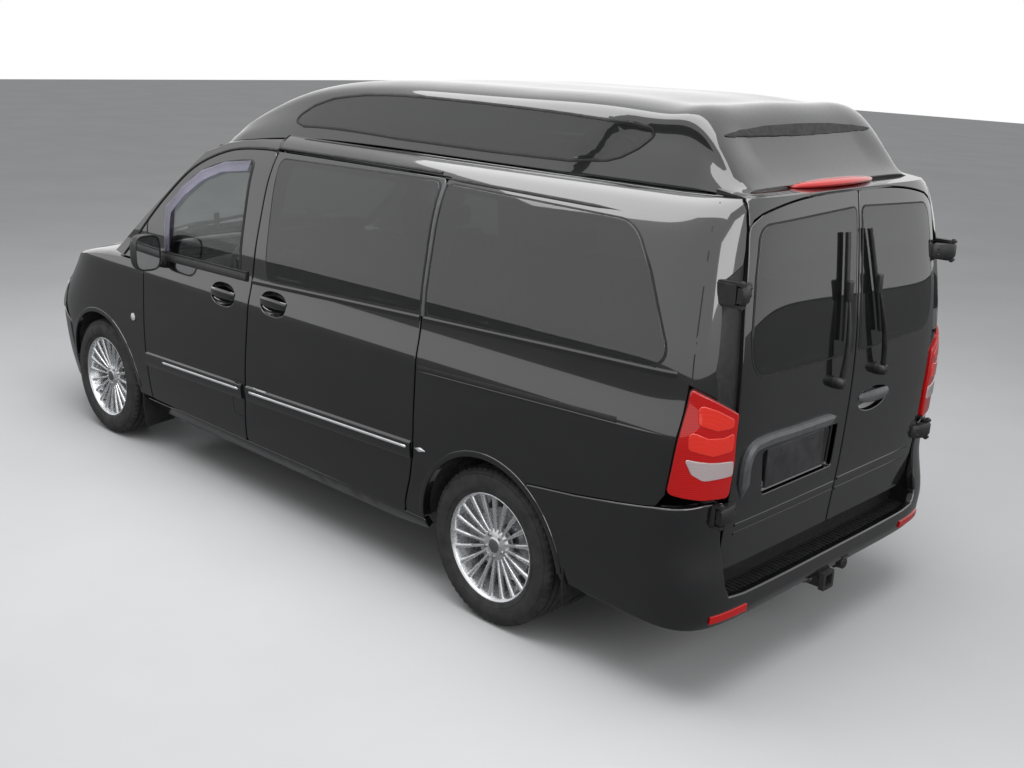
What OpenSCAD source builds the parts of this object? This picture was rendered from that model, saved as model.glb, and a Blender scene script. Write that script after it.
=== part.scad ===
// Compact passenger van with a raised fibreglass roof, twin rear doors and a tow hitch.
// Millimetres. X points forward, Y to the left, Z up, ground at z = 0.

/* [Body] */
// length over both bumpers
body_length = 5140; // [4000:10:6500]
// width over the door skins at their widest
body_width = 1928; // [1500:2:2400]
// height of the raised roof at its crown
crown_height = 2185; // [1800:5:2800]
// thickness of doors and side walls
wall = 50; // [30:1:90]
// gap between neighbouring panels
panel_gap = 8; // [4:0.5:14]

/* [Nose and tail] */
// height of the bonnet edge at the windscreen
bonnet_height = 1150; // [900:5:1400]
// rise of the bonnet at its middle over its edge
bonnet_crown = 35; // [0:1:80]
// thickness of bonnet, fenders and bumpers
panel = 26; // [10:1:60]
// depth of the rear bumper behind the doors
bumper_depth = 70; // [30:1:150]
// lower edge of the rear bumper
bumper_low_z = 314; // [250:2:400]
// upper edge of the rear bumper
bumper_top_z = 520; // [420:5:620]
// wall of the rear bumper
bumper_thick = 62; // [20:1:100]
// height of the windscreen base over the bonnet edge, on the centre line
screen_base_rise = 35; // [0:1:80]
// top of the windscreen line over the gutter
screen_top_rise = 15; // [0:1:60]
// sweep of the windscreen at its sides
screen_sweep = 120; // [0:5:400]

/* [Doors] */
// body between front wheel arch and front door
fender_post = 127; // [60:1:200]
// body between sliding door and rear wheel arch
slide_post = 44; // [20:1:120]
// lower edge of the side doors
door_low_z = 325; // [200:5:500]
// lower edge of the sills
sill_low_z = 236; // [150:2:320]
// front hinge axis behind the leading edge
hinge_back = 70; // [30:1:120]
// front hinge axis below the widest part of the skin
hinge_inset = 26; // [10:1:60]
// radius of the hinge pins
pin_r = 5; // [3:0.5:10]
// wall of a hinge eye
eye_wall = 5; // [3:0.5:10]
// height of a hinge eye
eye_height = 40; // [20:1:80]
// play round a pin and at seated pieces
fit_gap = 0.3; // [0.1:0.05:0.5]
// joint of the rear doors from the centre plane
rear_split_y = -45; // [-200:5:200]
// rear doors above the bumper
rear_door_lift = 20; // [8:1:60]
// rear hinge axis outside the rear door edge
rear_hinge_side = 70; // [40:1:120]
// rear hinge axis behind the door skin
rear_hinge_out = 14; // [6:1:40]
// radius of the rear hinge pins
rear_pin_r = 8; // [5:0.5:14]

/* [Wheels] */
// tyre radius
tyre_r = 340; // [280:1:420]
// tyre width
tyre_w = 225; // [165:5:295]
// rim seat radius
rim_r = 216; // [170:1:260]
// both front tyres inside the body width
front_tuck = 37; // [0:1:120]
// both rear tyres inside the body width
rear_tuck = 57; // [0:1:120]
// radius of the wheel arches
arch_r = 396; // [340:2:480]
// number of wheel spokes
spokes = 20; // [5:1:24]
// width of a spoke
spoke_w = 17; // [8:1:60]
// steering axis inside the middle of the tyre
kingpin_in = 63; // [20:1:120]
// spindle radius
spindle_r = 32; // [20:1:50]

/* [Roof] */
// wall of the raised roof
roof_wall = 28; // [10:1:60]
// raised roof ahead of the rear bumper
roof_rear_gap = 182; // [100:2:300]

/* [Inside] */
// thickness of glass
glass = 6; // [3:0.5:12]
// inset of glass below the outer skin
glass_inset = 4; // [0:0.5:20]
// top of the floor
floor_z = 470; // [350:5:600]
// thickness of floor, bulkhead and plates
plate = 40; // [10:1:80]
// steering wheel radius
steer_r = 190; // [150:1:230]
// steering wheel rim thickness
steer_t = 15; // [8:1:25]

/* [Tow hitch] */
// clear width of the square receiver
receiver = 51; // [30:0.5:80]
// wall of the receiver
receiver_wall = 7; // [4:0.5:12]
// radius of the cross pin hole
hitch_pin_r = 8; // [5:0.5:12]
// height of the receiver axis
hitch_z = 285; // [200:5:450]

/* [Hidden] */
$fn = 48;
overrun = 5;
// heights of the body in shares of the crown height, or of the gutter height
gutter_share = 0.83295;
roof_base_share = 1.0264;
door_high_share = 0.977;
gutter_height = crown_height*gutter_share;
roof_base_z = gutter_height*roof_base_share;
door_high_z = gutter_height*door_high_share;
// places along the body in shares of its length
wheelbase_share = 0.62257;
overhang_share = 0.20331;
nose_lead_share = 0.03405;
tail_share = 0.10895;
screen_base_share = 0.3035;
screen_run_share = 0.16732;
roof_front_share = 0.144;
rim_front_share = 0.0817;
// joint of front and sliding door between the rear and the front door edge
door_split_share = 0.552;
// places across the body in shares of its width
rear_door_share = 0.37448;
roof_half_share = 0.3641;
bonnet_rear_share = 0.3812;
bonnet_front_half_share = 0.3268;
rail_share = 0.2178;
seat_share = 0.2593;
seat_y_share = 0.2075;

wheelbase = body_length*wheelbase_share;
rear_axle_x = body_length*overhang_share - body_length/2;
front_axle_x = rear_axle_x + wheelbase;
door_front_x = front_axle_x - arch_r - fender_post;
slide_rear_x = rear_axle_x + arch_r + slide_post;
door_split_x = slide_rear_x + door_split_share*(door_front_x - slide_rear_x);
hinge_x = door_front_x - hinge_back;
hinge_y = body_width/2 - hinge_inset;
track_front = body_width - tyre_w - front_tuck;
track_rear = body_width - tyre_w - rear_tuck;
rear_door_y = body_width*rear_door_share;
rear_hinge_y = rear_door_y + rear_hinge_side;
roof_half = body_width*roof_half_share;
roof_front_x = body_length*roof_front_share;
roof_rear_x = roof_rear_gap - body_length/2;
rim_front_x = body_length*rim_front_share;
nose_start = front_axle_x - body_length*nose_lead_share;
nose_reach_max = body_length/2 - nose_start;
tail_reach_low = body_length*tail_share;
tail_start = bumper_depth + tail_reach_low - body_length/2;
screen_base_x = body_length*screen_base_share;
screen_base_z = bonnet_height + screen_base_rise;
screen_run = body_length*screen_run_share;
screen_rise = gutter_height + screen_top_rise - screen_base_z;
nose_power = 3.8;
tail_power = 8;
// width of the side over its height, in shares of the gutter height and of the half width
side_shares = [[0.11, 0.934], [0.22, 0.975], [0.33, 0.996], [0.43, 1], [0.55, 0.991], [0.632, 0.976],
  [0.714, 0.953], [0.824, 0.915], [0.934, 0.862], [0.989, 0.812], [1.016, 0.765], [1.033, 0.7]];
// reach of the nose over its height, in shares of the bonnet height
nose_shares = [[0.158, 0.95], [0.348, 0.99], [0.475, 1], [0.609, 0.985], [0.687, 0.91], [0.766, 0.82],
  [0.834, 0.74], [0.918, 0.66], [1.013, 0.6]];
// reach of the tail over its height
tail_shares = [[0.1, 0.98], [0.29, 1.003], [0.416, 1.041], [0.55, 1.066], [0.687, 1.075],
  [0.824, 1.024], [0.94, 0.989], [1.027, 0.9375]];
// height of the bonnet edge from windscreen base to nose, in shares of its run and height
bonnet_shares = [[-0.3, 0.99], [0, 1], [0.28, 0.978], [0.56, 0.939], [0.84, 0.87], [1, 0.804]];
// front edge of the bonnet in shares of the nose
bonnet_front_share = 0.79;
bonnet_rear_x = screen_base_x + plate;
bonnet_front_x = nose_start + nose_reach_max*bonnet_front_share;
// half widths of the bonnet at its rear and front
bonnet_rear_y = body_width*bonnet_rear_share;
bonnet_front_y = body_width*bonnet_front_half_share;

function half_width(z) = body_width/2*lookup(z/gutter_height, side_shares);
function nose_reach(z) = nose_reach_max*lookup(z/bonnet_height, nose_shares);
function tail_reach(z) = tail_reach_low*lookup(z/gutter_height, tail_shares);
function rounded(s, n) = pow(max(0, 1 - pow(max(0, min(1, s)), n)), 1/n);
function side_y(x, z) = half_width(z)*min(rounded((x - nose_start)/nose_reach(z), nose_power),
  rounded((tail_start - x)/tail_reach(z), tail_power));
function tail_x(y, z) = tail_start - tail_reach(z)*rounded(abs(y)/half_width(z), tail_power);
function tail_at(s, z) = tail_start - s*tail_reach(z);
function bonnet_edge(x) = bonnet_height*lookup((x - bonnet_rear_x)/(bonnet_front_x - bonnet_rear_x),
  bonnet_shares);
function bonnet_z(x, y) = bonnet_edge(x) + bonnet_crown*(1 - pow(y/half_width(bonnet_height), 2));
function bonnet_y(x) = bonnet_rear_y + (bonnet_front_y - bonnet_rear_y)
  *(x - bonnet_rear_x)/(bonnet_front_x - bonnet_rear_x);
function screen_x(y, z) = screen_base_x - screen_run*(z - screen_base_z)/screen_rise
  - screen_sweep*pow(min(1, abs(y)/half_width(z)), 2.5);
function screen_side(z) = screen_x(half_width(z), z);
function flat(rows) = [for (r = rows) for (p = r) p];
function spread(a, b, n) = [for (i = [0:n]) a + (b - a)*i/n];
function between(a, b, s) = a + (b - a)*s;
// outline from shares along a run and over a height
function placed(shares, x0, x1, z0, z1) = [for (p = shares) [between(x0, x1, p[0]), between(z0, z1, p[1])]];

// solid between an outer and an inner grid of points
module skin(outer, inner) {
  rows = len(outer);
  cols = len(outer[0]);
  n = rows*cols;
  faces = concat(
    flat([for (r = [0:rows - 2]) for (c = [0:cols - 2])
      let (a = r*cols + c, b = a + 1, d = a + cols, e = d + 1)
      [[a, b, e], [a, e, d], [n + a, n + e, n + b], [n + a, n + d, n + e]]]),
    flat([for (c = [0:cols - 2]) let (a = c, b = c + 1, d = (rows - 1)*cols + c, e = d + 1)
      [[a, n + a, n + b], [a, n + b, b], [d, e, n + e], [d, n + e, n + d]]]),
    flat([for (r = [0:rows - 2]) let (a = r*cols, d = a + cols, b = a + cols - 1, e = b + cols)
      [[a, d, n + d], [a, n + d, n + a], [b, n + b, n + e], [b, n + e, e]]]));
  polyhedron(points = concat(flat(outer), flat(inner)), faces = faces);
}

// left side wall between two depths below the outer skin, over heights zs and stations xs
module side_slab(zs, xs, depth, thick) {
  skin([for (z = zs) [for (x = xs) [x, side_y(x, z) - depth, z]]],
    [for (z = zs) [for (x = xs) [x, side_y(x, z) - depth - thick, z]]]);
}

// outline in X and Z, extruded across the left half of the body
module side_prism(outline, inset = 0) {
  translate([0, body_width, 0]) rotate([90, 0, 0]) linear_extrude(body_width) {
    if (inset == 0) polygon(outline);
    else offset(delta = -inset) polygon(outline);
  }
}

// the same on both sides
module both() {
  children();
  mirror([0, 1, 0]) children();
}

// heights and stations of the side wall grid
side_z_shares = [0.13, 0.22, 0.33, 0.43, 0.55, 0.632, 0.714, 0.824, 0.934, 0.989, 1];
side_zs = [for (s = side_z_shares) gutter_height*s];
mid_xs = [slide_rear_x - wall, slide_rear_x, 0, door_split_x, door_front_x + panel_gap];

// outline of the front door, with the leading edge upright up to the screen pillar
pillar_low_share = 0.2675;
pillar_mid_share = 0.74;
pillar_high_share = 0.9745;
pillar_back_share = 0.4925;
pillar_clear = 11;
pillar_low_z = between(bonnet_height, door_high_z, pillar_low_share);
pillar_mid_z = between(bonnet_height, door_high_z, pillar_mid_share);
pillar_high_z = between(bonnet_height, door_high_z, pillar_high_share);
pillar_mid_x = screen_side(pillar_mid_z) - plate - pillar_clear;
pillar_high_x = between(door_split_x, pillar_mid_x, pillar_back_share);
door_outline = [[door_front_x, door_low_z], [door_front_x, pillar_low_z], [pillar_mid_x, pillar_mid_z],
  [pillar_high_x, pillar_high_z], [door_split_x + panel_gap/2, door_high_z],
  [door_split_x + panel_gap/2, door_low_z]];
slide_outline = [[door_split_x - panel_gap/2, door_low_z], [door_split_x - panel_gap/2, door_high_z],
  [slide_rear_x, door_high_z], [slide_rear_x, door_low_z]];
// outlines of the side windows, in shares of their door or quarter and of its height
door_glass_shares = [[0.793, 0.024], [0.816, 0.438], [0.6816, 0.629], [0.53, 0.78], [0.328, 0.876],
  [0.1198, 0.9156], [0.1138, 0.048]];
slide_glass_shares = [[0.911, 0.6566], [0.923, 0.957], [0.0364, 0.9698], [0.0138, 0.684]];
quarter_glass_shares = [[0.012, 0.6813], [0.004, 0.968], [0.7, 0.9604], [0.878, 0.7088]];
door_glass_outline = placed(door_glass_shares, door_split_x, door_front_x, bonnet_height, door_high_z);
slide_glass_outline = placed(slide_glass_shares, slide_rear_x, door_split_x, 0, gutter_height);
quarter_glass_outline = placed(quarter_glass_shares, slide_rear_x - 2*panel_gap, tail_start - tail_reach_low,
  0, gutter_height);
module window_cut(outline) {
  side_prism(outline);
}

// pane set into a side window, short of its edge by the fit
module side_pane(outline, xs) {
  intersection() {
    side_slab(side_zs, xs, glass_inset, glass);
    side_prism(outline, fit_gap);
  }
}

// rear door opening: half width over height
rear_edge_shares = [[0, 1], [0.714, 1], [0.824, 0.985], [0.934, 0.94], [0.985, 0.89], [1.02, 0.84]];
function rear_edge(z) = rear_door_y*lookup(z/gutter_height, rear_edge_shares);
rear_door_low_z = bumper_top_z + rear_door_lift;
rear_z_shares = [0.4176, 0.5495, 0.6484, 0.7143, 0.8242, 0.9341, 0.9835, 1.0165];
rear_zs = concat([rear_door_low_z], [for (s = rear_z_shares) gutter_height*s]);
module rear_opening(margin) {
  n = len(rear_zs) - 1;
  o = [for (i = [0:n]) let (z = rear_zs[i])
    [rear_edge(z) + margin, z + (i == 0 ? -margin : i == n ? 4*margin : 0)]];
  translate([-body_length/2, 0, 0]) rotate([90, 0, 90]) linear_extrude(body_length/5)
    polygon(concat(o, [for (i = [n:-1:0]) [-o[i][0], o[i][1]]]));
}

// tail lamp, wrapped round the rear corner, left
lamp_z_shares = [0.4758, 0.5275, 0.5824, 0.6319, 0.6802];
lamp_zs = [for (s = lamp_z_shares) gutter_height*s];
lamp_shares = [0.978, 0.965, 0.94, 0.9, 0.84, 0.77];
module lamp_skin(out, depth, edge) {
  top = len(lamp_zs) - 1;
  zs = [for (i = [0:top]) lamp_zs[i] + (i == 0 ? -edge : i == top ? edge : 0)];
  n = len(lamp_shares) - 1;
  skin([for (z = zs) [for (i = [0:n]) let (x = tail_at(lamp_shares[i], z))
      [x - out, side_y(x, z) + out*i/n, z]]],
    [for (z = zs) [for (i = [0:n]) let (x = tail_at(lamp_shares[i], z))
      [x + depth, side_y(x, z) - depth*i/n, z]]]);
}

// side wall of the quarter, cant rail, sill and centre pillar, left
quarter_shares = [0.998, 0.99, 0.978, 0.965, 0.945, 0.915, 0.87, 0.82, 0.77, 0.5, 0];
cant_z = door_high_z + panel_gap;
sill_z = door_low_z - panel_gap;
sill_depth = 2.3*wall;
beam = 77;
quarter_zs = concat(side_zs, [roof_base_z - fit_gap]);
bumper_post = 69;
bumper_front_x = rear_axle_x - arch_r - bumper_post;
// inner sill beam, which ends short of the swing of the front door
door_swing = norm([hinge_back, wall]) + panel_gap;
beam_front_x = hinge_x - door_swing;
function quarter_row(z, inset) = concat(
  [for (s = quarter_shares) let (x = tail_at(s, z)) [x, side_y(x, z) - inset, z]],
  [for (x = [rear_axle_x, slide_rear_x - panel_gap]) [x, side_y(x, z) - inset, z]]);
module body_side() {
  difference() {
    union() {
      intersection() {
        skin([for (z = quarter_zs) quarter_row(z, 0)], [for (z = quarter_zs) quarter_row(z, wall)]);
        side_prism([[-body_length, bumper_top_z + fit_gap], [bumper_front_x, bumper_top_z + fit_gap],
          [bumper_front_x, door_low_z], [0, door_low_z], [0, body_length], [-body_length, body_length]]);
      }
      intersection() {
        side_slab([cant_z, gutter_height*0.989, gutter_height, gutter_height*1.016, roof_base_z],
          [slide_rear_x - wall, 0, door_split_x, pillar_high_x], 0, sill_depth);
        side_prism(concat([[slide_rear_x - wall, roof_base_z - fit_gap], [slide_rear_x - wall, cant_z],
          [rim_front_x, cant_z]], [for (t = roof_shares) let (x = roof_front_x - t[0]*roof_len)
            if (x < rim_front_x && x > slide_rear_x) [x, roof_base(x) - fit_gap]]));
      }
      side_slab([sill_low_z, gutter_height*0.22, floor_z], [rear_axle_x + arch_r, 0, beam_front_x],
        wall + panel_gap, beam);
      side_slab([sill_low_z, sill_z], [slide_rear_x - panel_gap, 0, door_front_x + panel_gap], 0, sill_depth);
      side_slab([for (z = side_zs) if (z > sill_low_z) z], [door_split_x - wall*1.5, door_split_x + wall*1.5],
        wall + panel_gap, wall);
    }
    window_cut(quarter_glass_outline);
    translate([rear_axle_x, 0, tyre_r]) rotate([-90, 0, 0]) cylinder(r = arch_r, h = body_width);
    rear_opening(panel_gap);
    lamp_skin(overrun, panel + 2*fit_gap, 2*fit_gap);
  }
  for (z = [rear_hinge_low_z, rear_hinge_high_z]) rear_hinge_body(z);
}

// rear hinge on the body: a block from the corner with an upright pin
rear_hinge_low_share = 0.4198;
rear_hinge_high_share = 0.8588;
rear_hinge_low_z = gutter_height*rear_hinge_low_share;
rear_hinge_high_z = gutter_height*rear_hinge_high_share;
rear_hinge_x = tail_x(0, rear_hinge_low_z) - rear_hinge_out;
module rear_hinge_body(z) {
  x = rear_hinge_x;
  translate([x, rear_hinge_y, z - eye_height]) cylinder(r = rear_pin_r, h = 2*eye_height);
  translate([x, rear_hinge_y, z - eye_height*0.3]) cylinder(r = rear_pin_r + eye_wall, h = eye_height*0.6);
  translate([x, rear_hinge_y - rear_pin_r, z - eye_height*0.3])
    cube([tail_x(rear_hinge_y, z) + wall*0.5 - x, 2*rear_pin_r, eye_height*0.6]);
}
module rear_hinge_door(z) {
  x = rear_hinge_x;
  e = rear_edge(z) - wall*0.2;
  h = eye_height*0.7 - fit_gap;
  difference() {
    union() for (b = [z - eye_height, z + eye_height*0.3 + fit_gap]) translate([x, rear_hinge_y, b]) {
      cylinder(r = rear_pin_r + eye_wall, h = h);
      translate([-rear_pin_r, e - wall - rear_hinge_y, 0]) cube([2*rear_pin_r, rear_hinge_y - e + wall, h]);
      translate([-rear_pin_r, e - wall - rear_hinge_y, 0])
        cube([tail_x(e, z) + wall*0.6 + rear_pin_r - x, wall, h]);
    }
    translate([x, rear_hinge_y, z - 2*eye_height]) cylinder(r = rear_pin_r + fit_gap, h = 4*eye_height);
  }
}

module body_sides() {
  color("black") both() body_side();
}

// floor with wheel housings
floor_half = half_width(floor_z - plate) - wall - panel_gap - beam - fit_gap;
floor_rear_gap = 145;
floor_rear_share = 0.3916;
floor_rear_x = floor_rear_gap - body_length/2;
floor_rear_half = body_width*floor_rear_share;
floor_front_x = door_front_x + 2*panel_gap + plate/2 - fit_gap;
// wheel housing, inside the inner face of the tyre
housing_gap = 70;
housing_y = track_rear/2 - tyre_w/2 - housing_gap;
module floor_pan() {
  color("dimgray") {
    difference() {
      translate([0, 0, floor_z - plate]) linear_extrude(plate) polygon([[floor_rear_x, -floor_rear_half],
        [rear_axle_x - arch_r, -floor_half], [floor_front_x, -floor_half], [floor_front_x, floor_half],
        [rear_axle_x - arch_r, floor_half], [floor_rear_x, floor_rear_half]]);
      both() translate([rear_axle_x, housing_y, tyre_r]) rotate([-90, 0, 0])
        cylinder(r = arch_r, h = body_width);
    }
    both() difference() {
      translate([rear_axle_x, housing_y - plate/2, tyre_r]) rotate([-90, 0, 0])
        cylinder(r = arch_r + plate/2, h = floor_half - housing_y + plate/2);
      translate([rear_axle_x, housing_y, tyre_r]) rotate([-90, 0, 0]) cylinder(r = arch_r, h = body_width);
      translate([rear_axle_x - body_length, 0, -body_length])
        cube([2*body_length, body_width, body_length + floor_z - plate]);
    }
  }
}

module sliding_doors() {
  color("black") both() difference() {
    intersection() {
      side_slab(side_zs, mid_xs, 0, wall);
      side_prism(slide_outline);
    }
    window_cut(slide_glass_outline);
  }
  color("black") both() for (z = [hinge_low_z, hinge_high_z])
    translate([slide_rear_x - panel_gap + fit_gap, side_y(slide_rear_x, z) - wall*0.8, z])
      cube([2*panel_gap, wall/2, plate]);
}

// raised roof, as a loft of half sections over its length
roof_len = roof_front_x - roof_rear_x;
roof_rise = crown_height - roof_base_z;
// base line of the raised roof from tail to front, in shares of half the length and of its height
roof_base_shares = [[-1, 1], [0, 1], [0.08, 0.9955], [0.156, 0.9877], [0.241, 0.9716], [0.3, 0.959]];
function roof_base(x) = roof_base_z*lookup(x/(body_length/2), roof_base_shares);
// stations along the roof, with width and height there
roof_shares = [[0, 0.66, 0.06], [0.015, 0.86, 0.13], [0.04, 0.97, 0.25], [0.08, 1.01, 0.42],
  [0.13, 1.02, 0.6], [0.2, 1.02, 0.79], [0.3, 1.01, 0.92], [0.45, 1, 0.985], [0.65, 0.99, 1],
  [0.82, 0.965, 0.985], [0.915, 0.945, 0.955], [0.95, 0.93, 0.84], [0.978, 0.92, 0.5], [1, 0.91, 0.16]];
// section of the roof from its side to its crown, in shares of half width and rise
section_shares = [[1, 0], [0.975, 0.3], [0.93, 0.62], [0.885, 0.82], [0.81, 0.915], [0.5, 0.98], [0, 1]];
function roof_row(s, inset) = let (x = roof_front_x - s[0]*roof_len, w = roof_half*s[1] - inset,
    b = roof_base(x), h = max(roof_rise*s[2] - inset, inset/4), n = len(section_shares))
  concat([for (i = [0:n - 1]) [x, -w*section_shares[i][0], b + h*section_shares[i][1]]],
    [for (i = [n - 2:-1:0]) [x, w*section_shares[i][0], b + h*section_shares[i][1]]]);
// windows of the raised roof, in shares of its length and rise
roof_glass_shares = [[0.182, 0.18], [0.3325, 0.59], [0.46, 0.6845], [0.716, 0.669], [0.831, 0.558],
  [0.735, 0.18]];
roof_glass_outline = placed(roof_glass_shares, roof_front_x, roof_rear_x, roof_base_z, crown_height);
module raised_roof() {
  n = len(roof_shares);
  color("black") difference() {
    skin([for (i = [n - 1:-1:0]) roof_row(roof_shares[i], 0)],
      [for (i = [n - 1:-1:0]) roof_row(roof_shares[i], roof_wall)]);
    both() translate([0, roof_half/2, 0]) side_prism(roof_glass_outline);
  }
}

// windscreen surround, bulkhead and hinge pillars
screen_low_z = bonnet_height - plate;
screen_high_share = 0.957;
screen_high_z = roof_base_z*screen_high_share;
screen_low_rise_share = 0.1358;
screen_high_rise_share = 0.0443;
screen_low_rise = (screen_high_z - screen_low_z)*screen_low_rise_share;
screen_high_rise = (screen_high_z - screen_low_z)*screen_high_rise_share;
function screen_zs(s) = spread(screen_low_z + screen_low_rise*s*s, screen_high_z + screen_high_rise*s*s, 6);
screen_shares = [-1, -0.93, -0.8, -0.5, 0, 0.5, 0.8, 0.93, 1];
screen_hole_shares = [[0.84, 0.155], [0.86, 0.31], [0.84, 0.664], [0.8, 0.922]];
hinge_low_share = 0.5565;
hinge_high_share = 0.826;
hinge_low_z = bonnet_height*hinge_low_share;
hinge_high_z = bonnet_height*hinge_high_share;
post_x = door_front_x + 2*panel_gap + plate/2;
post_w = 70;
post_inset = 96;
post_y = body_width/2 - post_inset;
cowl_back = 90;
cowl_x = screen_side(bonnet_height) - cowl_back;
module screen_slab(depth, thick) {
  skin([for (s = screen_shares) [for (z = screen_zs(s)) let (y = s*half_width(z))
      [screen_x(y, z) - depth, y, z]]],
    [for (s = screen_shares) [for (z = screen_zs(s)) let (y = s*half_width(z))
      [screen_x(y, z) - depth - thick, y, z]]]);
}
module screen_hole(margin) {
  o = [for (p = screen_hole_shares) let (z = between(screen_low_z, screen_high_z, p[1]))
    [p[0]*half_width(z), z]];
  rotate([90, 0, 90]) linear_extrude(body_length/2) offset(delta = -margin)
    polygon(concat(o, [for (i = [len(o) - 1:-1:0]) [-o[i][0], o[i][1]]]));
}
module front_hinge_arm(z) {
  difference() {
    union() {
      translate([hinge_x, hinge_y, z - eye_height/2]) cylinder(r = pin_r + eye_wall, h = eye_height);
      translate([hinge_x - pin_r, hinge_y - wall*1.8, z - eye_height/2])
        cube([2*pin_r, wall*1.8, eye_height]);
      translate([hinge_x - pin_r, hinge_y - wall*1.8 - 2*pin_r, z - eye_height/2])
        cube([post_x - hinge_x + plate, 2*pin_r + fit_gap, eye_height]);
    }
    translate([hinge_x, hinge_y, z - eye_height]) cylinder(r = pin_r + fit_gap, h = 2*eye_height);
  }
}
module front_shell() {
  color("black") {
    difference() {
      screen_slab(0, plate);
      screen_hole(0);
    }
    translate([post_x, -post_y + wall, floor_z - 2*plate])
      cube([plate, 2*post_y - 2*wall, bonnet_height - floor_z + plate]);
    translate([post_x, -post_y + 2*wall, cowl_z])
      cube([bonnet_hinge_x + bonnet_pin_r - post_x, 2*post_y - 4*wall, plate]);
    both() {
      translate([bonnet_hinge_x - bonnet_pin_r, bonnet_hinge_y, cowl_z + plate/2])
        cube([2*bonnet_pin_r, bonnet_lug, bonnet_hinge_z + bonnet_pin_r - cowl_z - plate/2]);
      translate([bonnet_hinge_x, bonnet_hinge_y - bonnet_lug, bonnet_hinge_z]) rotate([-90, 0, 0])
        cylinder(r = bonnet_pin_r, h = 3*bonnet_lug);
    }
    both() {
      translate([post_x, post_y - post_w, sill_low_z])
        cube([post_w, post_w, bonnet_height - sill_low_z - plate]);
      front_hinge_arm(hinge_low_z);
      front_hinge_arm(hinge_high_z);
      intersection() {
        side_slab(side_zs, [door_front_x, post_x, cowl_x + plate], 0, wall*2);
        side_prism([[door_front_x + panel_gap, bonnet_height - 1.6*plate],
          [door_front_x + panel_gap, pillar_low_z + panel_gap],
          [screen_side(pillar_low_z) - plate/2, pillar_low_z + panel_gap], [cowl_x, bonnet_height],
          [cowl_x, bonnet_height - plate]]);
      }
    }
  }
}

// front fender with its shoulder, left
fender_rear_x = door_front_x + panel_gap;
fender_x_shares = [0, 0.0844, 0.2025, 0.3376, 0.5232, 0.7089, 0.8017, 0.8692];
fender_xs = [for (s = fender_x_shares) between(fender_rear_x, bonnet_front_x, s)];
fender_z_shares = [0.269, 0.396, 0.554, 0.697, 0.823];
function fender_row(x, inset) = let (top = bonnet_edge(x), y = side_y(x, top - 1.6*plate), e = bonnet_y(x))
  concat([for (s = fender_z_shares) let (z = s*bonnet_height) [x, side_y(x, z) - inset, z]],
    [[x, y - inset, top - 1.6*plate - inset/2], [x, y - plate*0.4 - inset*0.8, top - plate*0.7 - inset*0.8],
     [x, y - plate*1.5 - inset*0.3, top - plate*0.2 - inset], [x, e + panel_gap/2, bonnet_z(x, e) - inset]]);
// outline of the fender from its rear edge to the bonnet front, in shares of that run and the bonnet height
fender_shares = [[0, 0.287], [0.456, 0.287], [0.7325, 0.435], [0.7325, 0.567], [0.832, 0.567],
  [0.827, 0.609], [0.783, 0.687], [0.7308, 0.772], [0.962, 0.772], [0.962, 1.13]];
fender_back_share = 0.935;
fender_outline = concat(placed(fender_shares, fender_rear_x, bonnet_front_x, 0, bonnet_height),
  [[cowl_x + panel_gap, 2*bonnet_height], [cowl_x + panel_gap, bonnet_height*fender_back_share],
  [fender_rear_x, bonnet_height*fender_back_share]]);
module front_fenders() {
  color("black") both() {
    difference() {
      intersection() {
        skin([for (i = [len(fender_xs) - 1:-1:0]) fender_row(fender_xs[i], 0)],
          [for (i = [len(fender_xs) - 1:-1:0]) fender_row(fender_xs[i], panel)]);
        side_prism(fender_outline);
      }
      translate([front_axle_x, 0, tyre_r]) rotate([-90, 0, 0]) cylinder(r = arch_r, h = body_width);
    }
    translate([post_x + post_w*0.1, post_y + fit_gap, hinge_low_z - plate])
      cube([post_w*0.8, half_width(hinge_low_z) - panel/2 - post_y, plate]);
  }
}

// band of the nose between two turns about its rounding and over heights zs
function nose_point(t, z, inset) = [nose_start + (nose_reach(z) - inset)*pow(cos(t), 2/nose_power),
  (half_width(z) - inset)*sign(t)*pow(abs(sin(t)), 2/nose_power), z];
module nose_band(ts, zs, depth, thick) {
  skin([for (t = ts) [for (z = zs) nose_point(t, z, depth)]],
    [for (t = ts) [for (z = zs) nose_point(t, z, depth + thick)]]);
}
bumper_z_shares = [0.165, 0.226, 0.348, 0.47, 0.5565];
grille_z_shares = [0.609, 0.687, 0.75, 0.79];
lamp_front_z_shares = [0.609, 0.687, 0.765];
bumper_zs = [for (s = bumper_z_shares) bonnet_height*s];
nose_low_z = bumper_zs[len(bumper_zs) - 1] + fit_gap;
bumper_turns = [-75, -70, -64, -57, -48, -36, -22, -8, 0, 8, 22, 36, 48, 57, 64, 70, 75];
lamp_turns = [34, 42, 50, 58, 65];
grille_turns = [-32, -20, -8, 0, 8, 20, 32];
bumper_arch_gap = 9;
module front_bumper() {
  color("black") {
    difference() {
      nose_band(bumper_turns, bumper_zs, 0, panel);
      translate([-body_length, -body_width, 0])
        cube([body_length + front_axle_x + arch_r - bumper_arch_gap, 2*body_width, bonnet_height]);
    }
    both() translate([rail_end_x + fit_gap, rail_y - rail_w, rail_z]) cube([1.4*panel, rail_w, rail_h]);
  }
}
module grille() {
  color("dimgray") nose_band(grille_turns, concat([nose_low_z], [for (s = grille_z_shares) bonnet_height*s]),
    2*fit_gap, panel);
}
module headlamps() {
  color("silver") both() nose_band(lamp_turns, concat([nose_low_z],
    [for (s = lamp_front_z_shares) bonnet_height*s]), 0, 2*panel);
}

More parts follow.
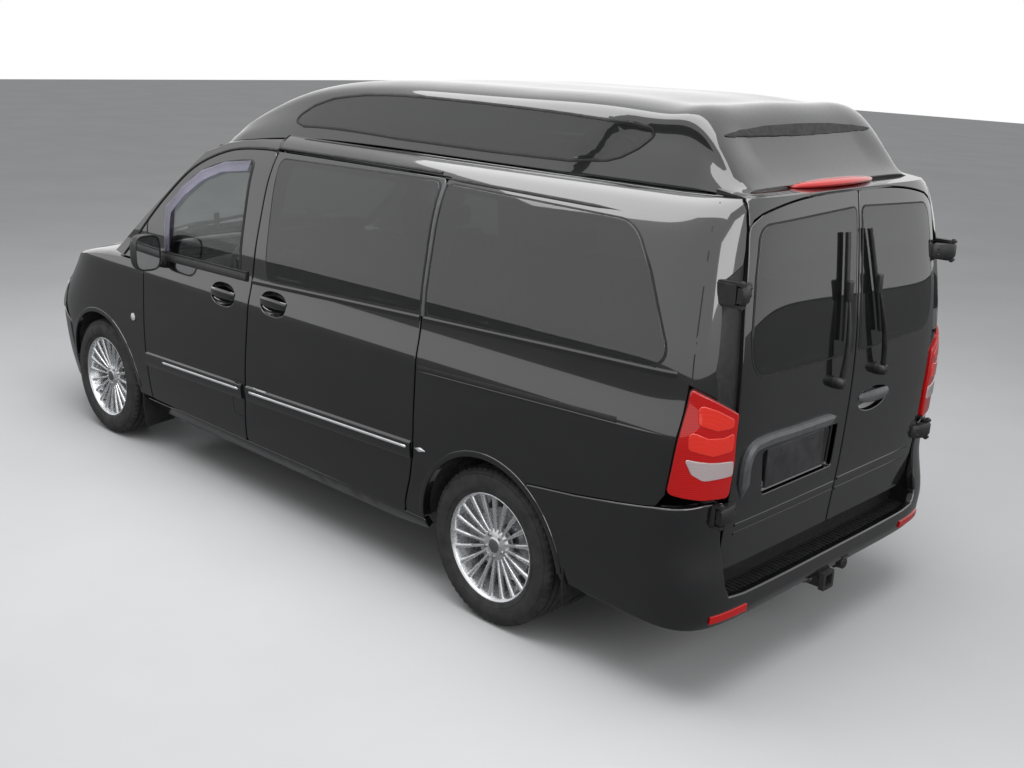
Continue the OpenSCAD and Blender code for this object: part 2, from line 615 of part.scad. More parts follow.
// bonnet with its hinge lugs
bonnet_set_back = 52;
bonnet_edge_x = bonnet_rear_x + bonnet_set_back;
bonnet_x_shares = [0, 0.1847, 0.5022, 0.733, 0.906, 1];
bonnet_xs = [for (s = bonnet_x_shares) between(bonnet_edge_x, bonnet_front_x, s)];
bonnet_y_shares = [-1, -0.75, -0.4, 0, 0.4, 0.75, 1];
bonnet_hinge_in = 15;
bonnet_hinge_drop = 26;
bonnet_hinge_share = 0.762;
bonnet_hinge_x = bonnet_edge_x + bonnet_hinge_in;
bonnet_hinge_z = bonnet_height - bonnet_hinge_drop;
bonnet_hinge_y = bonnet_rear_y*bonnet_hinge_share;
cowl_z = bonnet_height - 2.4*plate;
bonnet_pin_r = 7;
bonnet_lug = 16;
bonnet_fall = 40;
function bonnet_row(x, inset) = [for (s = bonnet_y_shares) let (y = s*(bonnet_y(x) - panel_gap/2),
    f = (x - bonnet_rear_x)/(bonnet_front_x - bonnet_rear_x),
    b = bonnet_fall*2*pow(abs(s), 2)*max(0, f - 0.5))
  [x - b, y, bonnet_z(x - b, y) - inset]];
module bonnet() {
  color("black") {
    skin([for (x = bonnet_xs) bonnet_row(x, 0)], [for (x = bonnet_xs) bonnet_row(x, panel)]);
    both() for (y = [bonnet_hinge_y - bonnet_lug, bonnet_hinge_y + bonnet_lug + fit_gap]) difference() {
      translate([bonnet_hinge_x - 2*bonnet_pin_r, y, bonnet_hinge_z - 2*bonnet_pin_r])
        cube([4*bonnet_pin_r, bonnet_lug - fit_gap,
          2*bonnet_pin_r + bonnet_z(bonnet_hinge_x, y) - panel/2 - bonnet_hinge_z]);
      translate([bonnet_hinge_x, y - overrun, bonnet_hinge_z]) rotate([-90, 0, 0])
        cylinder(r = bonnet_pin_r + fit_gap, h = bonnet_lug + 2*overrun);
    }
  }
}

// rear door skin between two widths, left of the joint
module rear_door_slab(y_in, depth, thick) {
  shares = [0, 0.2, 0.45, 0.7, 0.88, 1];
  skin([for (z = rear_zs) [for (s = shares) let (y = between(y_in, rear_edge(z), s))
      [tail_x(y, z) + depth, y, z]]],
    [for (z = rear_zs) [for (s = shares) let (y = between(y_in, rear_edge(z), s))
      [tail_x(y, z) + depth + thick, y, z]]]);
}
rear_glass_low_share = 0.6934;
rear_glass_high_share = 0.957;
rear_glass_low_z = gutter_height*rear_glass_low_share;
rear_glass_high_z = gutter_height*rear_glass_high_share;
rear_glass_in = 70;
rear_glass_out = 85;
function rear_glass_outline(y_in) = let (z0 = rear_glass_low_z, z1 = rear_glass_high_z)
  [[y_in + rear_glass_in, z0], [rear_edge(z0) - rear_glass_out, z0], [rear_edge(z1) - rear_glass_out, z1],
    [y_in + rear_glass_in, z1]];
module rear_prism(outline, inset) {
  translate([-body_length/2, 0, 0]) rotate([90, 0, 90]) linear_extrude(body_length/5) offset(delta = -inset)
    polygon(outline);
}
module rear_door(y_in) {
  difference() {
    rear_door_slab(y_in, 0, wall);
    rear_prism(rear_glass_outline(y_in), 0);
  }
  rear_hinge_door(rear_hinge_low_z);
  rear_hinge_door(rear_hinge_high_z);
}
module rear_pane(y_in) {
  intersection() {
    rear_door_slab(y_in, glass_inset, glass);
    rear_prism(rear_glass_outline(y_in), fit_gap);
  }
}
door_joint = rear_split_y + panel_gap/2;
module rear_door_left() {
  color("black") rear_door(door_joint);
}
module rear_door_right() {
  color("black") mirror([0, 1, 0]) rear_door(-rear_split_y + panel_gap/2);
}
module rear_glass_left() {
  color("gray") rear_pane(door_joint);
}
module rear_glass_right() {
  color("gray") mirror([0, 1, 0]) rear_pane(-rear_split_y + panel_gap/2);
}

// rear wiper: a pivot boss on the door skin below the glass and an upright arm over it
wiper_share = 0.6264;
wiper_len_share = 0.3077;
wiper_z = gutter_height*wiper_share;
wiper_len = gutter_height*wiper_len_share;
wiper_r = 18;
wiper_t = 9;
module rear_wiper(y) {
  x = tail_x(y, wiper_z);
  top = tail_x(y, wiper_z + wiper_len);
  translate([x - fit_gap, y, wiper_z]) rotate([0, -90, 0]) cylinder(r = wiper_r, h = 3*wiper_t);
  translate([x - 3*wiper_t, y - wiper_t/2, wiper_z])
    rotate([0, atan2(top - x, wiper_len), 0]) cube([wiper_t, wiper_t, wiper_len]);
}
wiper_left_gap = 80;
wiper_right_gap = 110;
wiper_left_y = rear_split_y + wiper_left_gap;
wiper_right_y = rear_split_y - wiper_right_gap;
module rear_wiper_left() {
  color("black") rear_wiper(wiper_left_y);
}
module rear_wiper_right() {
  color("black") rear_wiper(wiper_right_y);
}

module tail_lamps() {
  color("red") {
    both() lamp_skin(0, panel, 0);
    translate([roof_rear_x - 2*wiper_t, -brake_half, roof_base_z + panel_gap])
      cube([2*wiper_t - fit_gap, 2*brake_half, 2*wiper_t]);
  }
}
brake_share = 0.1556;
brake_half = body_width*brake_share;

// rear bumper: a thick band round the tail, with a step on top
rear_bumper_turns = [-89.9, -88, -85, -80, -72, -62, -48, -30, 0, 30, 48, 62, 72, 80, 85, 88, 89.9];
bumper_power = 6;
function rear_bumper_point(t, z, inset) = let (n = bumper_power, reach = tail_start + body_length/2)
  [tail_start - (reach - inset)*pow(cos(t), 2/n), -(half_width(z) - inset)*sign(t)*pow(abs(sin(t)), 2/n), z];
module rear_bumper() {
  o = receiver/2 + receiver_wall + panel_gap;
  zs = spread(bumper_low_z, bumper_top_z, 3);
  color("black") difference() {
    skin([for (t = rear_bumper_turns) [for (z = zs) rear_bumper_point(t, z, 0)]],
      [for (t = rear_bumper_turns) [for (z = zs) rear_bumper_point(t, z, bumper_thick)]]);
    translate([-body_length, -o, 0]) cube([body_length, 2*o, hitch_z + o]);
    translate([bumper_front_x, -body_width, 0]) cube([body_length, 2*body_width, gutter_height]);
  }
}

// front door with pockets and pins for its hinges, left
pocket = eye_height + 2*panel_gap;
module front_door() {
  difference() {
    intersection() {
      side_slab(side_zs, mid_xs, 0, wall);
      side_prism(door_outline);
    }
    window_cut(door_glass_outline);
    for (z = [hinge_low_z, hinge_high_z]) translate([hinge_x - 4*pin_r, 0, z - pocket/2])
      cube([hinge_back + 4*pin_r + overrun, hinge_y + pin_r + eye_wall + fit_gap*8, pocket]);
  }
  for (z = [hinge_low_z, hinge_high_z]) translate([hinge_x, hinge_y, z - pocket/2 - overrun])
    cylinder(r = pin_r, h = pocket + 2*overrun);
}
module front_door_left() {
  color("black") front_door();
}
module front_door_right() {
  color("black") mirror([0, 1, 0]) front_door();
}
module front_glass_left() {
  color("gray") side_pane(door_glass_outline, mid_xs);
}
module front_glass_right() {
  color("gray") mirror([0, 1, 0]) side_pane(door_glass_outline, mid_xs);
}

// door mirror on a short foot, left
mirror_back = 167;
mirror_lift = 48;
mirror_depth = 110;
mirror_high = 200;
mirror_w = 154;
mirror_gap = 4;
mirror_x = door_front_x - mirror_back;
mirror_z = bonnet_height + mirror_lift;
mirror_in = body_width/2 + mirror_gap;
module door_mirror() {
  w = mirror_w;
  intersection() {
    translate([mirror_x - mirror_depth/2, mirror_in, mirror_z]) rotate([90, 0, 90])
      linear_extrude(mirror_depth) polygon([for (p = [[0, -0.25], [0.12, -0.45], [0.4, -0.5], [0.85, -0.42],
        [1, -0.1], [0.98, 0.25], [0.85, 0.45], [0.5, 0.5], [0.15, 0.45], [0, 0.3]])
        [p[0]*w, p[1]*mirror_high]]);
    translate([mirror_x, mirror_in, mirror_z - mirror_high]) linear_extrude(2*mirror_high)
      polygon([for (p = [[-0.5, 0], [-0.5, 1], [-0.2, 1], [0.2, 0.85], [0.42, 0.6], [0.5, 0.3], [0.5, 0]])
        [p[0]*mirror_depth, p[1]*w]]);
  }
  foot_y = side_y(mirror_x, bonnet_height - plate*0.6) + fit_gap;
  translate([mirror_x - mirror_depth/4, foot_y, bonnet_height - plate*0.6])
    cube([mirror_depth/2, mirror_in + plate - foot_y, plate]);
}
module mirror_left() {
  color("black") door_mirror();
}
module mirror_right() {
  color("black") mirror([0, 1, 0]) door_mirror();
}

module windscreen() {
  color("gray") intersection() {
    screen_slab(glass_inset, glass);
    screen_hole(fit_gap);
  }
}

module side_glass() {
  color("gray") both() {
    side_pane(slide_glass_outline, mid_xs);
    side_pane(quarter_glass_outline, [tail_at(0.9, gutter_height*0.6), tail_at(0.77, gutter_height),
      tail_at(0.5, gutter_height), tail_start, slide_rear_x]);
    intersection() {
      raised_pane();
      translate([0, roof_half/2, 0]) side_prism(roof_glass_outline, fit_gap);
    }
  }
}
module raised_pane() {
  n = len(roof_shares);
  skin([for (i = [n - 1:-1:0]) roof_row(roof_shares[i], glass_inset)],
    [for (i = [n - 1:-1:0]) roof_row(roof_shares[i], glass_inset + glass)]);
}

// wheels, about the origin with the outer side towards +Z
module tyre_body() {
  b = rim_r + fit_gap;
  color("black") rotate_extrude() polygon([for (p = [[0, -0.4], [0.13, -0.4], [0.62, -0.5], [0.9, -0.44],
    [1, -0.33], [1, 0.33], [0.9, 0.44], [0.62, 0.5], [0.13, 0.4], [0, 0.4]])
    [b + p[0]*(tyre_r - b), p[1]*tyre_w]]);
}
rim_wall = 9;
flange = 12;
hub_r = 78;
hub_t = 40;
rim_half = tyre_w*0.4 - fit_gap;
spoke_z = tyre_w*0.22;
module rim_body() {
  color("silver") difference() {
    union() {
      rotate_extrude() polygon([[rim_r - rim_wall, -rim_half - flange], [rim_r + flange, -rim_half - flange],
        [rim_r + flange, -rim_half - fit_gap*2], [rim_r, -rim_half - fit_gap*2],
        [rim_r, rim_half + fit_gap*2],
        [rim_r + flange, rim_half + fit_gap*2], [rim_r + flange, rim_half + flange],
        [rim_r - rim_wall, rim_half + flange]]);
      translate([0, 0, spoke_z]) cylinder(r = hub_r, h = hub_t);
      for (i = [0:spokes - 1]) rotate([0, 0, 360*i/spokes])
        translate([hub_r*0.8, -spoke_w/2, spoke_z + hub_t*0.25])
          cube([rim_r - rim_wall/2 - hub_r*0.8, spoke_w, hub_t*0.6]);
    }
    translate([0, 0, -rim_half]) cylinder(r = spindle_r + fit_gap, h = rim_half + spoke_z + hub_t*0.6);
  }
}
module at_wheel(x, track, side) {
  translate([x, side*track/2, tyre_r]) rotate([-90*side, 0, 0]) children();
}
module tyre_front_left() {
  at_wheel(front_axle_x, track_front, 1) tyre_body();
}
module tyre_front_right() {
  at_wheel(front_axle_x, track_front, -1) tyre_body();
}
module tyre_rear_left() {
  at_wheel(rear_axle_x, track_rear, 1) tyre_body();
}
module tyre_rear_right() {
  at_wheel(rear_axle_x, track_rear, -1) tyre_body();
}
module rim_front_left() {
  at_wheel(front_axle_x, track_front, 1) rim_body();
}
module rim_front_right() {
  at_wheel(front_axle_x, track_front, -1) rim_body();
}
module rim_rear_left() {
  at_wheel(rear_axle_x, track_rear, 1) rim_body();
}
module rim_rear_right() {
  at_wheel(rear_axle_x, track_rear, -1) rim_body();
}

// steering knuckle: an upright with king pins and the wheel spindle, left
kingpin_y = track_front/2 - kingpin_in;
kingpin_r = 14;
upright = 170;
arm_t = 26;
module knuckle() {
  color("dimgray") translate([front_axle_x, kingpin_y, tyre_r]) {
    translate([-plate*0.8, -plate*0.6, -upright/2]) cube([plate*1.6, plate*1.2, upright]);
    translate([0, 0, -upright/2 - arm_t - overrun])
      cylinder(r = kingpin_r, h = upright + 2*arm_t + 2*overrun);
    rotate([-90, 0, 0]) cylinder(r = spindle_r, h = kingpin_in + spoke_z + hub_t*0.5);
  }
}
module knuckle_left() {
  knuckle();
}
module knuckle_right() {
  mirror([0, 1, 0]) knuckle();
}

// front subframe: rails, a cross beam and a pair of arms with eyes on each side
rail_y = body_width*rail_share;
rail_w = 60;
rail_z = 400;
rail_h = 90;
arm_w = 50;
rail_end_gap = 80;
rail_end_x = body_length/2 - rail_end_gap;
module front_arm(z) {
  difference() {
    union() {
      translate([front_axle_x - arm_w/2, rail_y, z]) cube([arm_w, kingpin_y - rail_y, arm_t - fit_gap]);
      translate([front_axle_x, kingpin_y, z]) cylinder(r = kingpin_r*2, h = arm_t - fit_gap);
    }
    translate([front_axle_x, kingpin_y, z - overrun])
      cylinder(r = kingpin_r + fit_gap, h = arm_t + 2*overrun);
  }
}
module front_subframe() {
  color("dimgray") {
    both() {
      translate([post_x + plate + fit_gap, rail_y - rail_w, rail_z])
        cube([rail_end_x - post_x - plate - fit_gap, rail_w, rail_h]);
      translate([front_axle_x - arm_w, rail_y - rail_w, tyre_r - upright/2 - arm_t])
        cube([2*arm_w, rail_w, rail_z - tyre_r + upright/2 + arm_t + overrun]);
      front_arm(tyre_r - upright/2 - arm_t);
      front_arm(tyre_r + upright/2 + fit_gap);
    }
    translate([front_axle_x - arm_w, -rail_y, tyre_r - upright/2 - arm_t])
      cube([2*arm_w, 2*rail_y, 2*arm_t]);
  }
}

// rear axle: cross beam with spindles, trailing arms and final drive
module rear_axle() {
  color("dimgray") {
    translate([rear_axle_x, -track_rear/2 - spoke_z - hub_t*0.5, tyre_r]) rotate([-90, 0, 0])
      cylinder(r = spindle_r, h = track_rear + 2*spoke_z + hub_t);
    translate([rear_axle_x, -rail_w*1.5, tyre_r]) rotate([-90, 0, 0]) cylinder(r = 1.4*rail_w, h = 3*rail_w);
    both() translate([rear_axle_x - rail_w/2, rail_y, tyre_r - rail_w/2])
      cube([rail_w, rail_w, floor_z - plate - fit_gap - tyre_r + rail_w/2]);
    translate([rear_axle_x, 0, tyre_r]) rotate([0, 90, 0]) cylinder(r = spindle_r, h = wheelbase*0.72);
  }
}

module engine() {
  color("silver") translate([front_axle_x - rail_y*0.6, -rail_y + rail_w + fit_gap, rail_z + rail_h*0.2])
    cube([rail_y*1.4, 2*(rail_y - rail_w - fit_gap), bonnet_height*0.42]);
}

tank_share = 0.1206;
tank_len_share = 0.1479;
tank_drop = 190;
module fuel_tank() {
  color("dimgray") translate([-body_length*tank_share, -rail_y*1.7, floor_z - plate - fit_gap - tank_drop])
    cube([body_length*tank_len_share, rail_y*1.3, tank_drop]);
}

pipe_r = 30;
pipe_gap = 100;
pipe_y = rail_y + pipe_gap;
module exhaust() {
  z = floor_z - plate - fit_gap - pipe_r*1.5;
  color("silver") translate([rear_axle_x + wheelbase*0.15, pipe_y, z]) {
    translate([0, 0, -pipe_r*0.5]) rotate([0, 90, 0]) cylinder(r = pipe_r*2, h = wheelbase*0.25);
    rotate([0, 90, 0]) cylinder(r = pipe_r, h = wheelbase*0.68);
  }
}

flap_w = 210;
flap_t = 10;
flap_low_z = 190;
flap_h = floor_z - plate - fit_gap - flap_low_z;
flap_y = half_width(door_low_z) - wall - fit_gap;
module mud_flaps() {
  color("black") both() {
    translate([rear_axle_x - arch_r - flap_t - plate*0.2, flap_y - flap_w, flap_low_z])
      cube([flap_t, flap_w, flap_h]);
    translate([post_x + post_w + fit_gap, flap_y - flap_w, flap_low_z]) cube([flap_t, flap_w, flap_h]);
  }
}

hitch_len = 260;
hitch_pin_back = 65;
module tow_hitch() {
  o = receiver/2 + receiver_wall;
  x0 = -body_length/2;
  color("dimgray") difference() {
    union() {
      translate([x0, -o, hitch_z - o]) cube([hitch_len, 2*o, 2*o]);
      translate([x0 + hitch_len - 2*o, -rail_y - rail_w, hitch_z - o])
        cube([2*o, 2*rail_y + 2*rail_w, 2*o]);
      both() translate([x0 + hitch_len - 2*o, rail_y, hitch_z - o])
        cube([2*o, rail_w, floor_z - plate - fit_gap - hitch_z + o]);
    }
    translate([x0 - overrun, -receiver/2, hitch_z - receiver/2]) cube([hitch_len - 2*o, receiver, receiver]);
    translate([x0 + hitch_pin_back, -2*o, hitch_z]) rotate([-90, 0, 0]) cylinder(r = hitch_pin_r, h = 4*o);
  }
}

// dashboard with the steering column
dash_drop = 65;
dash_depth = 180;
dash_side_gap = 68;
column_back = 388;
column_drop = 25;
dash_high_z = bonnet_height - dash_drop;
dash_low_z = dash_high_z - dash_depth;
dash_half = post_y - dash_side_gap;
column_y = body_width*seat_y_share;
column_tilt = 40;
column_x = post_x - column_back;
column_z = dash_high_z - column_drop;
column_r = 22;
module dashboard() {
  color("dimgray") {
    translate([0, dash_half, 0]) rotate([90, 0, 0]) linear_extrude(2*dash_half)
      polygon([[post_x - fit_gap, dash_low_z], [post_x - fit_gap, dash_high_z],
        [post_x - 4*plate, dash_high_z],
        [post_x - 6.5*plate, dash_high_z - 1.4*plate], [post_x - 5.5*plate, dash_low_z]]);
    translate([column_x, column_y, column_z]) rotate([0, column_tilt + 90, 0]) mirror([0, 0, 1])
      translate([0, 0, -steer_r*1.45]) cylinder(r = column_r, h = steer_r*1.45 - steer_t);
  }
}
module steering_wheel() {
  color("black") translate([column_x, column_y, column_z]) rotate([0, column_tilt + 90, 0])
    mirror([0, 0, 1]) {
    rotate_extrude() translate([steer_r, 0]) circle(r = steer_t);
    translate([0, 0, fit_gap - steer_t]) cylinder(r = steer_r*0.3, h = steer_t*2);
    for (a = [0, 120, 240]) rotate([0, 0, a]) translate([0, -steer_t*0.9, -steer_t/2])
      cube([steer_r, steer_t*1.8, steer_t*0.9]);
  }
}

// seats: base, cushion, back and head rest in one outline
seat_h_share = 0.5;
seat_h = (bonnet_height - floor_z)*seat_h_share;
seat_d_share = 0.0934;
seat_d = body_length*seat_d_share;
seat_w = body_width*seat_share;
// rows of seats along the body, in shares of its length
row_shares = [0.045, -0.1362, -0.3035];
module seat(x, y, w) {
  translate([x, y + w/2, floor_z + fit_gap]) rotate([90, 0, 0]) linear_extrude(w)
    polygon([for (p = [[0.1, 0], [0.9, 0], [1, 0.7], [1, 1], [0.2, 0.92], [-0.14, 2.5], [-0.3, 2.5],
      [-0.05, 0.7]]) [p[0]*seat_d, p[1]*seat_h]]);
  translate([x - seat_d*0.3, y + w*0.25, floor_z + seat_h*2.47]) rotate([90, 0, 0]) linear_extrude(w*0.5)
    polygon([for (p = [[0, 0], [0.2, 0], [0.17, 0.4], [-0.02, 0.4]]) [p[0]*seat_d, p[1]*seat_h]]);
}
module seats() {
  color("dimgray") both() {
    seat(body_length*row_shares[0], column_y, seat_w);
    seat(body_length*row_shares[1], column_y, seat_w);
    seat(body_length*row_shares[2], seat_w*0.52, seat_w);
  }
}

front_wiper_share = 0.816;
front_wiper_gap = 8;
front_wiper_y = bonnet_rear_y*front_wiper_share;
front_wiper_x = bonnet_rear_x + front_wiper_gap;
module front_wipers() {
  color("black") both() translate([front_wiper_x, front_wiper_y, cowl_z + plate + fit_gap]) {
    cylinder(r = wiper_r*0.8, h = plate*2.7);
    translate([-wiper_t, -wiper_len, plate*2.4]) cube([wiper_t*1.4, wiper_len, wiper_t]);
  }
}

floor_pan();
body_sides();
raised_roof();
front_shell();
front_fenders();
front_bumper();
grille();
rear_bumper();
sliding_doors();
windscreen();
side_glass();
headlamps();
tail_lamps();
dashboard();
seats();
engine();
exhaust();
fuel_tank();
front_subframe();
rear_axle();
mud_flaps();
tow_hitch();
front_wipers();
front_door_left();
front_glass_left();
mirror_left();
front_door_right();
front_glass_right();
mirror_right();
rear_door_left();
rear_glass_left();
rear_wiper_left();
rear_door_right();
rear_glass_right();
rear_wiper_right();
bonnet();
knuckle_left();
knuckle_right();
rim_front_left();
tyre_front_left();
rim_front_right();
tyre_front_right();
rim_rear_left();
tyre_rear_left();
rim_rear_right();
tyre_rear_right();
steering_wheel();
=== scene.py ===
"""Dresses the compact van with a raised roof: paint, glass, lamps, wheels, cabin and studio."""
from math import ceil, cos, hypot, pi, radians, sin

import bmesh
import bpy
import numpy as np
from mathutils import Matrix, Vector
from mathutils.geometry import delaunay_2d_cdt


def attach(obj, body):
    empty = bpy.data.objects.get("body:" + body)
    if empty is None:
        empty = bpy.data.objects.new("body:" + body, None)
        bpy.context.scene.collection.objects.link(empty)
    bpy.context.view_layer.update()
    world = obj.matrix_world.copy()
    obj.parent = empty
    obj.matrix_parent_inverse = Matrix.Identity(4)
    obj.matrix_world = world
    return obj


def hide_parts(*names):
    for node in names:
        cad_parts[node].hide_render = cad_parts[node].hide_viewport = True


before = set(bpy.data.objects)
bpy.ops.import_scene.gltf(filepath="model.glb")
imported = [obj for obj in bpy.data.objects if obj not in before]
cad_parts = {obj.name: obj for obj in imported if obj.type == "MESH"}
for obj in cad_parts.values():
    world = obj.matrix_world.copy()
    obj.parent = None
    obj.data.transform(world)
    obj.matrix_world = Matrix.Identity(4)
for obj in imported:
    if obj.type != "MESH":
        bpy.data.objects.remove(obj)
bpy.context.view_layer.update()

bl_info = {
    "name": "Compact van dressing",
    "version": (1, 0, 0),
    "blender": (4, 5, 0),
    "location": "View3D > Sidebar > Van",
    "description": "Builds the painted panels, glass, lamps, wheels and cabin of a compact van",
    "category": "Object",
}

# The van's main heights and lengths in metres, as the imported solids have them.
GUTTER = 1.82
HALF = .964
TAIL_START, TAIL_REACH, TAIL_POWER = -1.94, .56, 8.0
NOSE_START, NOSE_REACH, NOSE_POWER = 1.5, 1.07, 3.8
BONNET_Z = 1.15
ROOF_FRONT, ROOF_REAR, ROOF_HALF = .74, -2.388, .702
CROWN = 2.164
ROOF_BASE = 1.868
AXLES = (1.675, -1.525)
TRACKS = (.833, .823)
TYRE_R = .34
DOOR_FRONT, SLIDE_REAR, SILL = 1.149, -1.085, .325
REAR_SPLIT = -.045


# Curves and skins.
def curve_through(points):
    """A natural cubic curve through the points, straight beyond its ends."""
    xs, ys = np.array(points, float).T
    n, h = len(xs), np.diff(xs)
    a = np.eye(n)
    b = np.zeros(n)
    for i in range(1, n - 1):
        a[i, i - 1:i + 2] = h[i - 1], 2 * (h[i - 1] + h[i]), h[i]
        b[i] = 6 * ((ys[i + 1] - ys[i]) / h[i] - (ys[i] - ys[i - 1]) / h[i - 1])
    m = np.linalg.solve(a, b)

    def value(t):
        t = np.clip(np.asarray(t, float), xs[0], xs[-1])
        i = np.clip(np.searchsorted(xs, t) - 1, 0, n - 2)
        u, v, g = xs[i + 1] - t, t - xs[i], h[i]
        return ((m[i] * u**3 + m[i + 1] * v**3) / (6 * g)
                + (ys[i] / g - m[i] * g / 6) * u + (ys[i + 1] / g - m[i + 1] * g / 6) * v)
    return value


def ease(t):
    t = np.clip(t, 0, 1)
    return t * t * (3 - 2 * t)


side_share = curve_through([(.11, .934), (.22, .975), (.33, .996), (.43, 1), (.55, .991), (.574, .9885),
                            (.632, .968),
                            (.714, .951), (.824, .915), (.934, .862), (.989, .812), (1.016, .765),
                            (1.033, .7)])
nose_share = curve_through([(.158, .95), (.348, .99), (.475, 1), (.609, .985), (.687, .91), (.766, .82),
                            (.834, .74), (.918, .66), (1.013, .6)])
tail_share = curve_through([(.1, .98), (.29, 1.003), (.416, 1.041), (.55, 1.066), (.66, 1.071), (.75, 1.055),
                            (.85, 1.021),
                            (.94, .985), (1.027, .94)])
rear_edge_share = curve_through([(0, 1), (.5, 1), (.65, 1.004), (.75, .995), (.824, .98), (.9, .956),
                                 (.97, .93), (1.02, .9)])


def side_width(z):
    return HALF * side_share(np.asarray(z) / GUTTER)


def tail_depth(z):
    return TAIL_REACH * tail_share(np.asarray(z) / GUTTER)


def nose_depth(z):
    return NOSE_REACH * nose_share(np.asarray(z) / BONNET_Z)


def bent(share, power):
    return np.maximum(1 - np.clip(np.abs(share), 0, 1) ** power, 0) ** (1 / power)


def belt_line(x):
    return 1.171 - .044 * (np.asarray(x) - .2) - .0012 * np.asarray(x) ** 2


def side_y(x, z):
    """Half width of the body, drawn in towards the nose and the tail."""
    x, z = np.asarray(x, float), np.asarray(z, float)
    tail = bent(np.maximum((TAIL_START - x) / tail_depth(z), 0), TAIL_POWER)
    nose = bent(np.maximum((x - NOSE_START) / nose_depth(z), 0), NOSE_POWER)
    return side_width(z) * np.minimum(tail, nose)


def side_skin(uv):
    x, z = uv[:, 0], uv[:, 1]
    return np.stack([x, side_y(x, z), z], 1)


def arc_table(power):
    t = np.linspace(0, pi / 2, 6000)
    return np.sin(t) ** (2 / power), np.cos(t) ** (2 / power)


def corner_skin(start, depth, power, way):
    """A skin that follows the side and turns round the tail or the nose along its arc."""
    s, c = arc_table(power)
    reach = TAIL_REACH if way < 0 else NOSE_REACH
    arc = np.concatenate([[0], np.cumsum(np.hypot(np.diff(s) * reach, np.diff(c) * HALF))])

    def skin(uv):
        q, z = uv[:, 0], uv[:, 1]
        a = np.maximum((q - start) * way, 0)
        mirror = np.where(a > arc[-1], -1.0, 1.0)
        a = np.where(a > arc[-1], 2 * arc[-1] - a, a)
        x = np.where((q - start) * way > 0, start + way * depth(z) * np.interp(a, arc, s), q)
        x = np.where(a < 0, start + way * a, x)
        y = side_width(z) * np.interp(a, arc, c) * mirror
        return np.stack([x, y, z], 1)

    def at_y(y, z):
        share = np.clip(np.abs(np.asarray(y)) / side_width(z), 0, 1)
        a = np.interp(share, c[::-1], arc[::-1])
        return start + way * np.where(np.asarray(y) < 0, 2 * arc[-1] - a, a)

    def at_x(x, z):
        return start + way * np.interp(np.abs(np.asarray(x) - start) / depth(z), s, arc)
    return skin, at_y, at_x


tail_skin, tail_at_y, tail_at_x = corner_skin(TAIL_START, tail_depth, TAIL_POWER, -1)
nose_skin, nose_at_y, nose_at_x = corner_skin(NOSE_START, nose_depth, NOSE_POWER, 1)


def rear_x(y, z):
    return TAIL_START - tail_depth(z) * bent(np.asarray(y) / side_width(z), TAIL_POWER)


def rear_skin(uv):
    y, z = uv[:, 0], uv[:, 1]
    return np.stack([rear_x(y, z), y, z], 1)


def screen_x(y, z):
    """The windscreen: a raked plane, swept back at its sides."""
    share = np.asarray(y) / side_width(1.185)
    low = 1.185 - .035 * share ** 2
    return 1.56 - .86 * (np.asarray(z) - low) / .65 - .12 * share ** 2 + .012 * sin(1.5)


def screen_skin(uv):
    y, z = uv[:, 0], uv[:, 1]
    return np.stack([screen_x(y, z), y, z], 1)


bonnet_share = curve_through([(-.3, .99), (0, 1), (.28, .978), (.56, .939), (.84, .87), (1, .804)])


def bonnet_skin(uv):
    x, y = uv[:, 0], uv[:, 1]
    run = (x - 1.6) / .755
    half = .8 - .14 * np.clip(run, 0, 1)
    crown = .035 * (1 - (y / half) ** 2)
    ridge = -.007 * ease(1 - np.abs(np.abs(y) - .42 + .12 * run) / .05)
    z = BONNET_Z * bonnet_share(run) - .035 + crown + ridge
    return np.stack([x, y, z], 1)


# Shells.
def facing(skin, uv, sign, reach=.002):
    du, dv = np.array([reach, 0]), np.array([0, reach])
    pu = (skin(uv + du) - skin(uv - du)) / (2 * reach)
    pv = (skin(uv + dv) - skin(uv - dv)) / (2 * reach)
    n = np.cross(pu, pv) * sign
    return n / np.linalg.norm(n, axis=1)[:, None], pu, pv


def rounded(points, radius, turns=7):
    """A closed outline with its corners rounded; the radius may differ from corner to corner."""
    p = np.array(points, float)
    radii = radius if hasattr(radius, "__len__") else [radius] * len(p)
    out = []
    for i, r in enumerate(radii):
        a, b, c = p[i - 1], p[i], p[(i + 1) % len(p)]
        u, v = a - b, c - b
        lu, lv = np.linalg.norm(u), np.linalg.norm(v)
        u, v = u / lu, v / lv
        half = np.arccos(np.clip(u @ v, -1, 1)) / 2
        if r <= 0 or half > pi / 2 - .03:
            out.append(b)
            continue
        cut = min(r / np.tan(half), .48 * lu, .48 * lv)
        for t in np.linspace(0, 1, turns):
            out.append((1 - t) ** 2 * (b + u * cut) + 2 * t * (1 - t) * (b + (u + v) * cut * .12)
                       + t * t * (b + v * cut))
    return np.array(out)


def spread(loop, gap, closed=True):
    """The same line with points no further apart than the gap."""
    p = np.array(loop, float)
    out = []
    for i in range(len(p) if closed else len(p) - 1):
        a, b = p[i], p[(i + 1) % len(p)]
        k = max(1, ceil(np.linalg.norm(b - a) / gap))
        out += [a + (b - a) * j / k for j in range(k)]
    return np.array(out if closed else out + [p[-1]])


def turned(loop, left):
    x, y = loop.T
    area = np.sum(x * np.roll(y, -1) - y * np.roll(x, -1))
    return loop if (area > 0) == left else loop[::-1]


def inwards(loop):
    e = np.roll(loop, -1, 0) - loop
    e /= np.maximum(np.linalg.norm(e, axis=1), 1e-9)[:, None]
    left = np.stack([-e[:, 1], e[:, 0]], 1)
    m = left + np.roll(left, 1, 0)
    m /= np.maximum(np.linalg.norm(m, axis=1), 1e-9)[:, None]
    return m / np.maximum(np.sum(m * left, 1), .6)[:, None]


